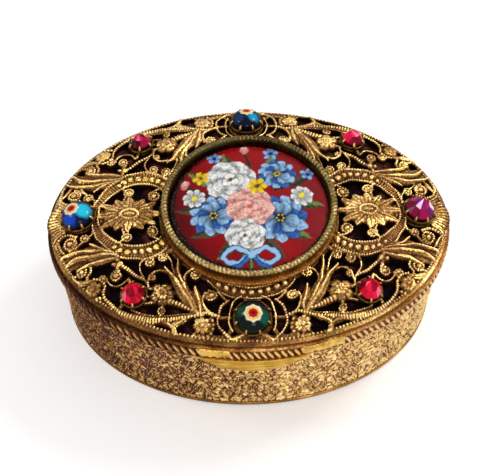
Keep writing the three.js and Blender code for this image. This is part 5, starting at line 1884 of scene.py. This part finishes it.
def build_floor():
    """A white floor, a little brighter to the camera alone."""
    mesh = bpy.data.meshes.new("floor")
    signs = ((-1, -1), (1, -1), (1, 1), (-1, 1))
    mesh.from_pydata([(FLOOR_HALF * x, FLOOR_HALF * y, 0) for x, y in signs], [], [(0, 1, 2, 3)])
    floor = bpy.data.objects.new("floor", mesh)
    bpy.context.scene.collection.objects.link(floor)
    s = Shader("floor_paper")
    paper = s.noise(14.0, 3.0)
    path = s.nodes.new("ShaderNodeLightPath")
    s.set(Base_Color=s.ramp(paper, [(0.3, srgb(242, 240, 239)), (0.7, srgb(246, 245, 245))]))
    s.set(Roughness=0.75, Emission_Color=(1.0, 1.0, 1.0))
    s.set(Emission_Strength=s.math("MULTIPLY", path.outputs["Is Camera Ray"], 0.21))
    mesh.materials.append(s.mat)


# From the front and a little from the left, looking down on the lid; turns are in degrees
CAMERA_LENS, CAMERA_EYE = 70.27, (-3.8625, -130.7777, 205.8387)
CAMERA_TURNS = (35.29074, -0.18425, -1.52578)


def place_camera():
    data = bpy.data.cameras.new("camera")
    data.sensor_width = 36
    data.lens = CAMERA_LENS
    data.clip_start = 0.01
    camera = bpy.data.objects.new("camera", data)
    camera.location = [c * MM for c in CAMERA_EYE]
    camera.rotation_euler = [math.radians(turn) for turn in CAMERA_TURNS]
    bpy.context.scene.collection.objects.link(camera)
    bpy.context.scene.camera = camera


def area_light(name, place, size, power, colour):
    data = bpy.data.lights.new(name, "AREA")
    data.size = size
    data.energy = power
    data.color = colour
    lamp = bpy.data.objects.new(name, data)
    lamp.location = place
    aim = Vector((0, 0, 0.02)) - Vector(place)
    lamp.rotation_euler = aim.to_track_quat("-Z", "Y").to_euler()
    bpy.context.scene.collection.objects.link(lamp)


def light_lamps():
    area_light("window", (0.33, 0.24, 0.44), 0.18, 1.45, (1.0, 0.98, 0.95))
    area_light("left_card", (-0.36, 0.08, 0.40), 0.12, 0.45, (1.0, 0.98, 0.96))
    area_light("front_fill", (0.06, -0.5, 0.5), 0.2, 1.0, (1.0, 0.97, 0.94))


def light_world():
    """A white studio, at full strength where it is seen or mirrored and weaker as a light."""
    world = bpy.data.worlds.new("studio")
    bpy.context.scene.world = world
    world.use_nodes = True
    w = Nodes(world.node_tree)
    path = w.nodes.new("ShaderNodeLightPath").outputs
    seen = w.math("MAXIMUM", path["Is Camera Ray"], path["Is Glossy Ray"])
    seen = w.math("MAXIMUM", seen, path["Is Transmission Ray"])
    background = w.nodes["Background"].inputs
    w.plug(background["Strength"], w.math("MULTIPLY_ADD", seen, 0.4, 0.6))
    w.plug(background["Color"], (1.0, 1.0, 1.0))
    bpy.context.scene.view_settings.view_transform = "Standard"


build_floor()
place_camera()
light_lamps()
light_world()
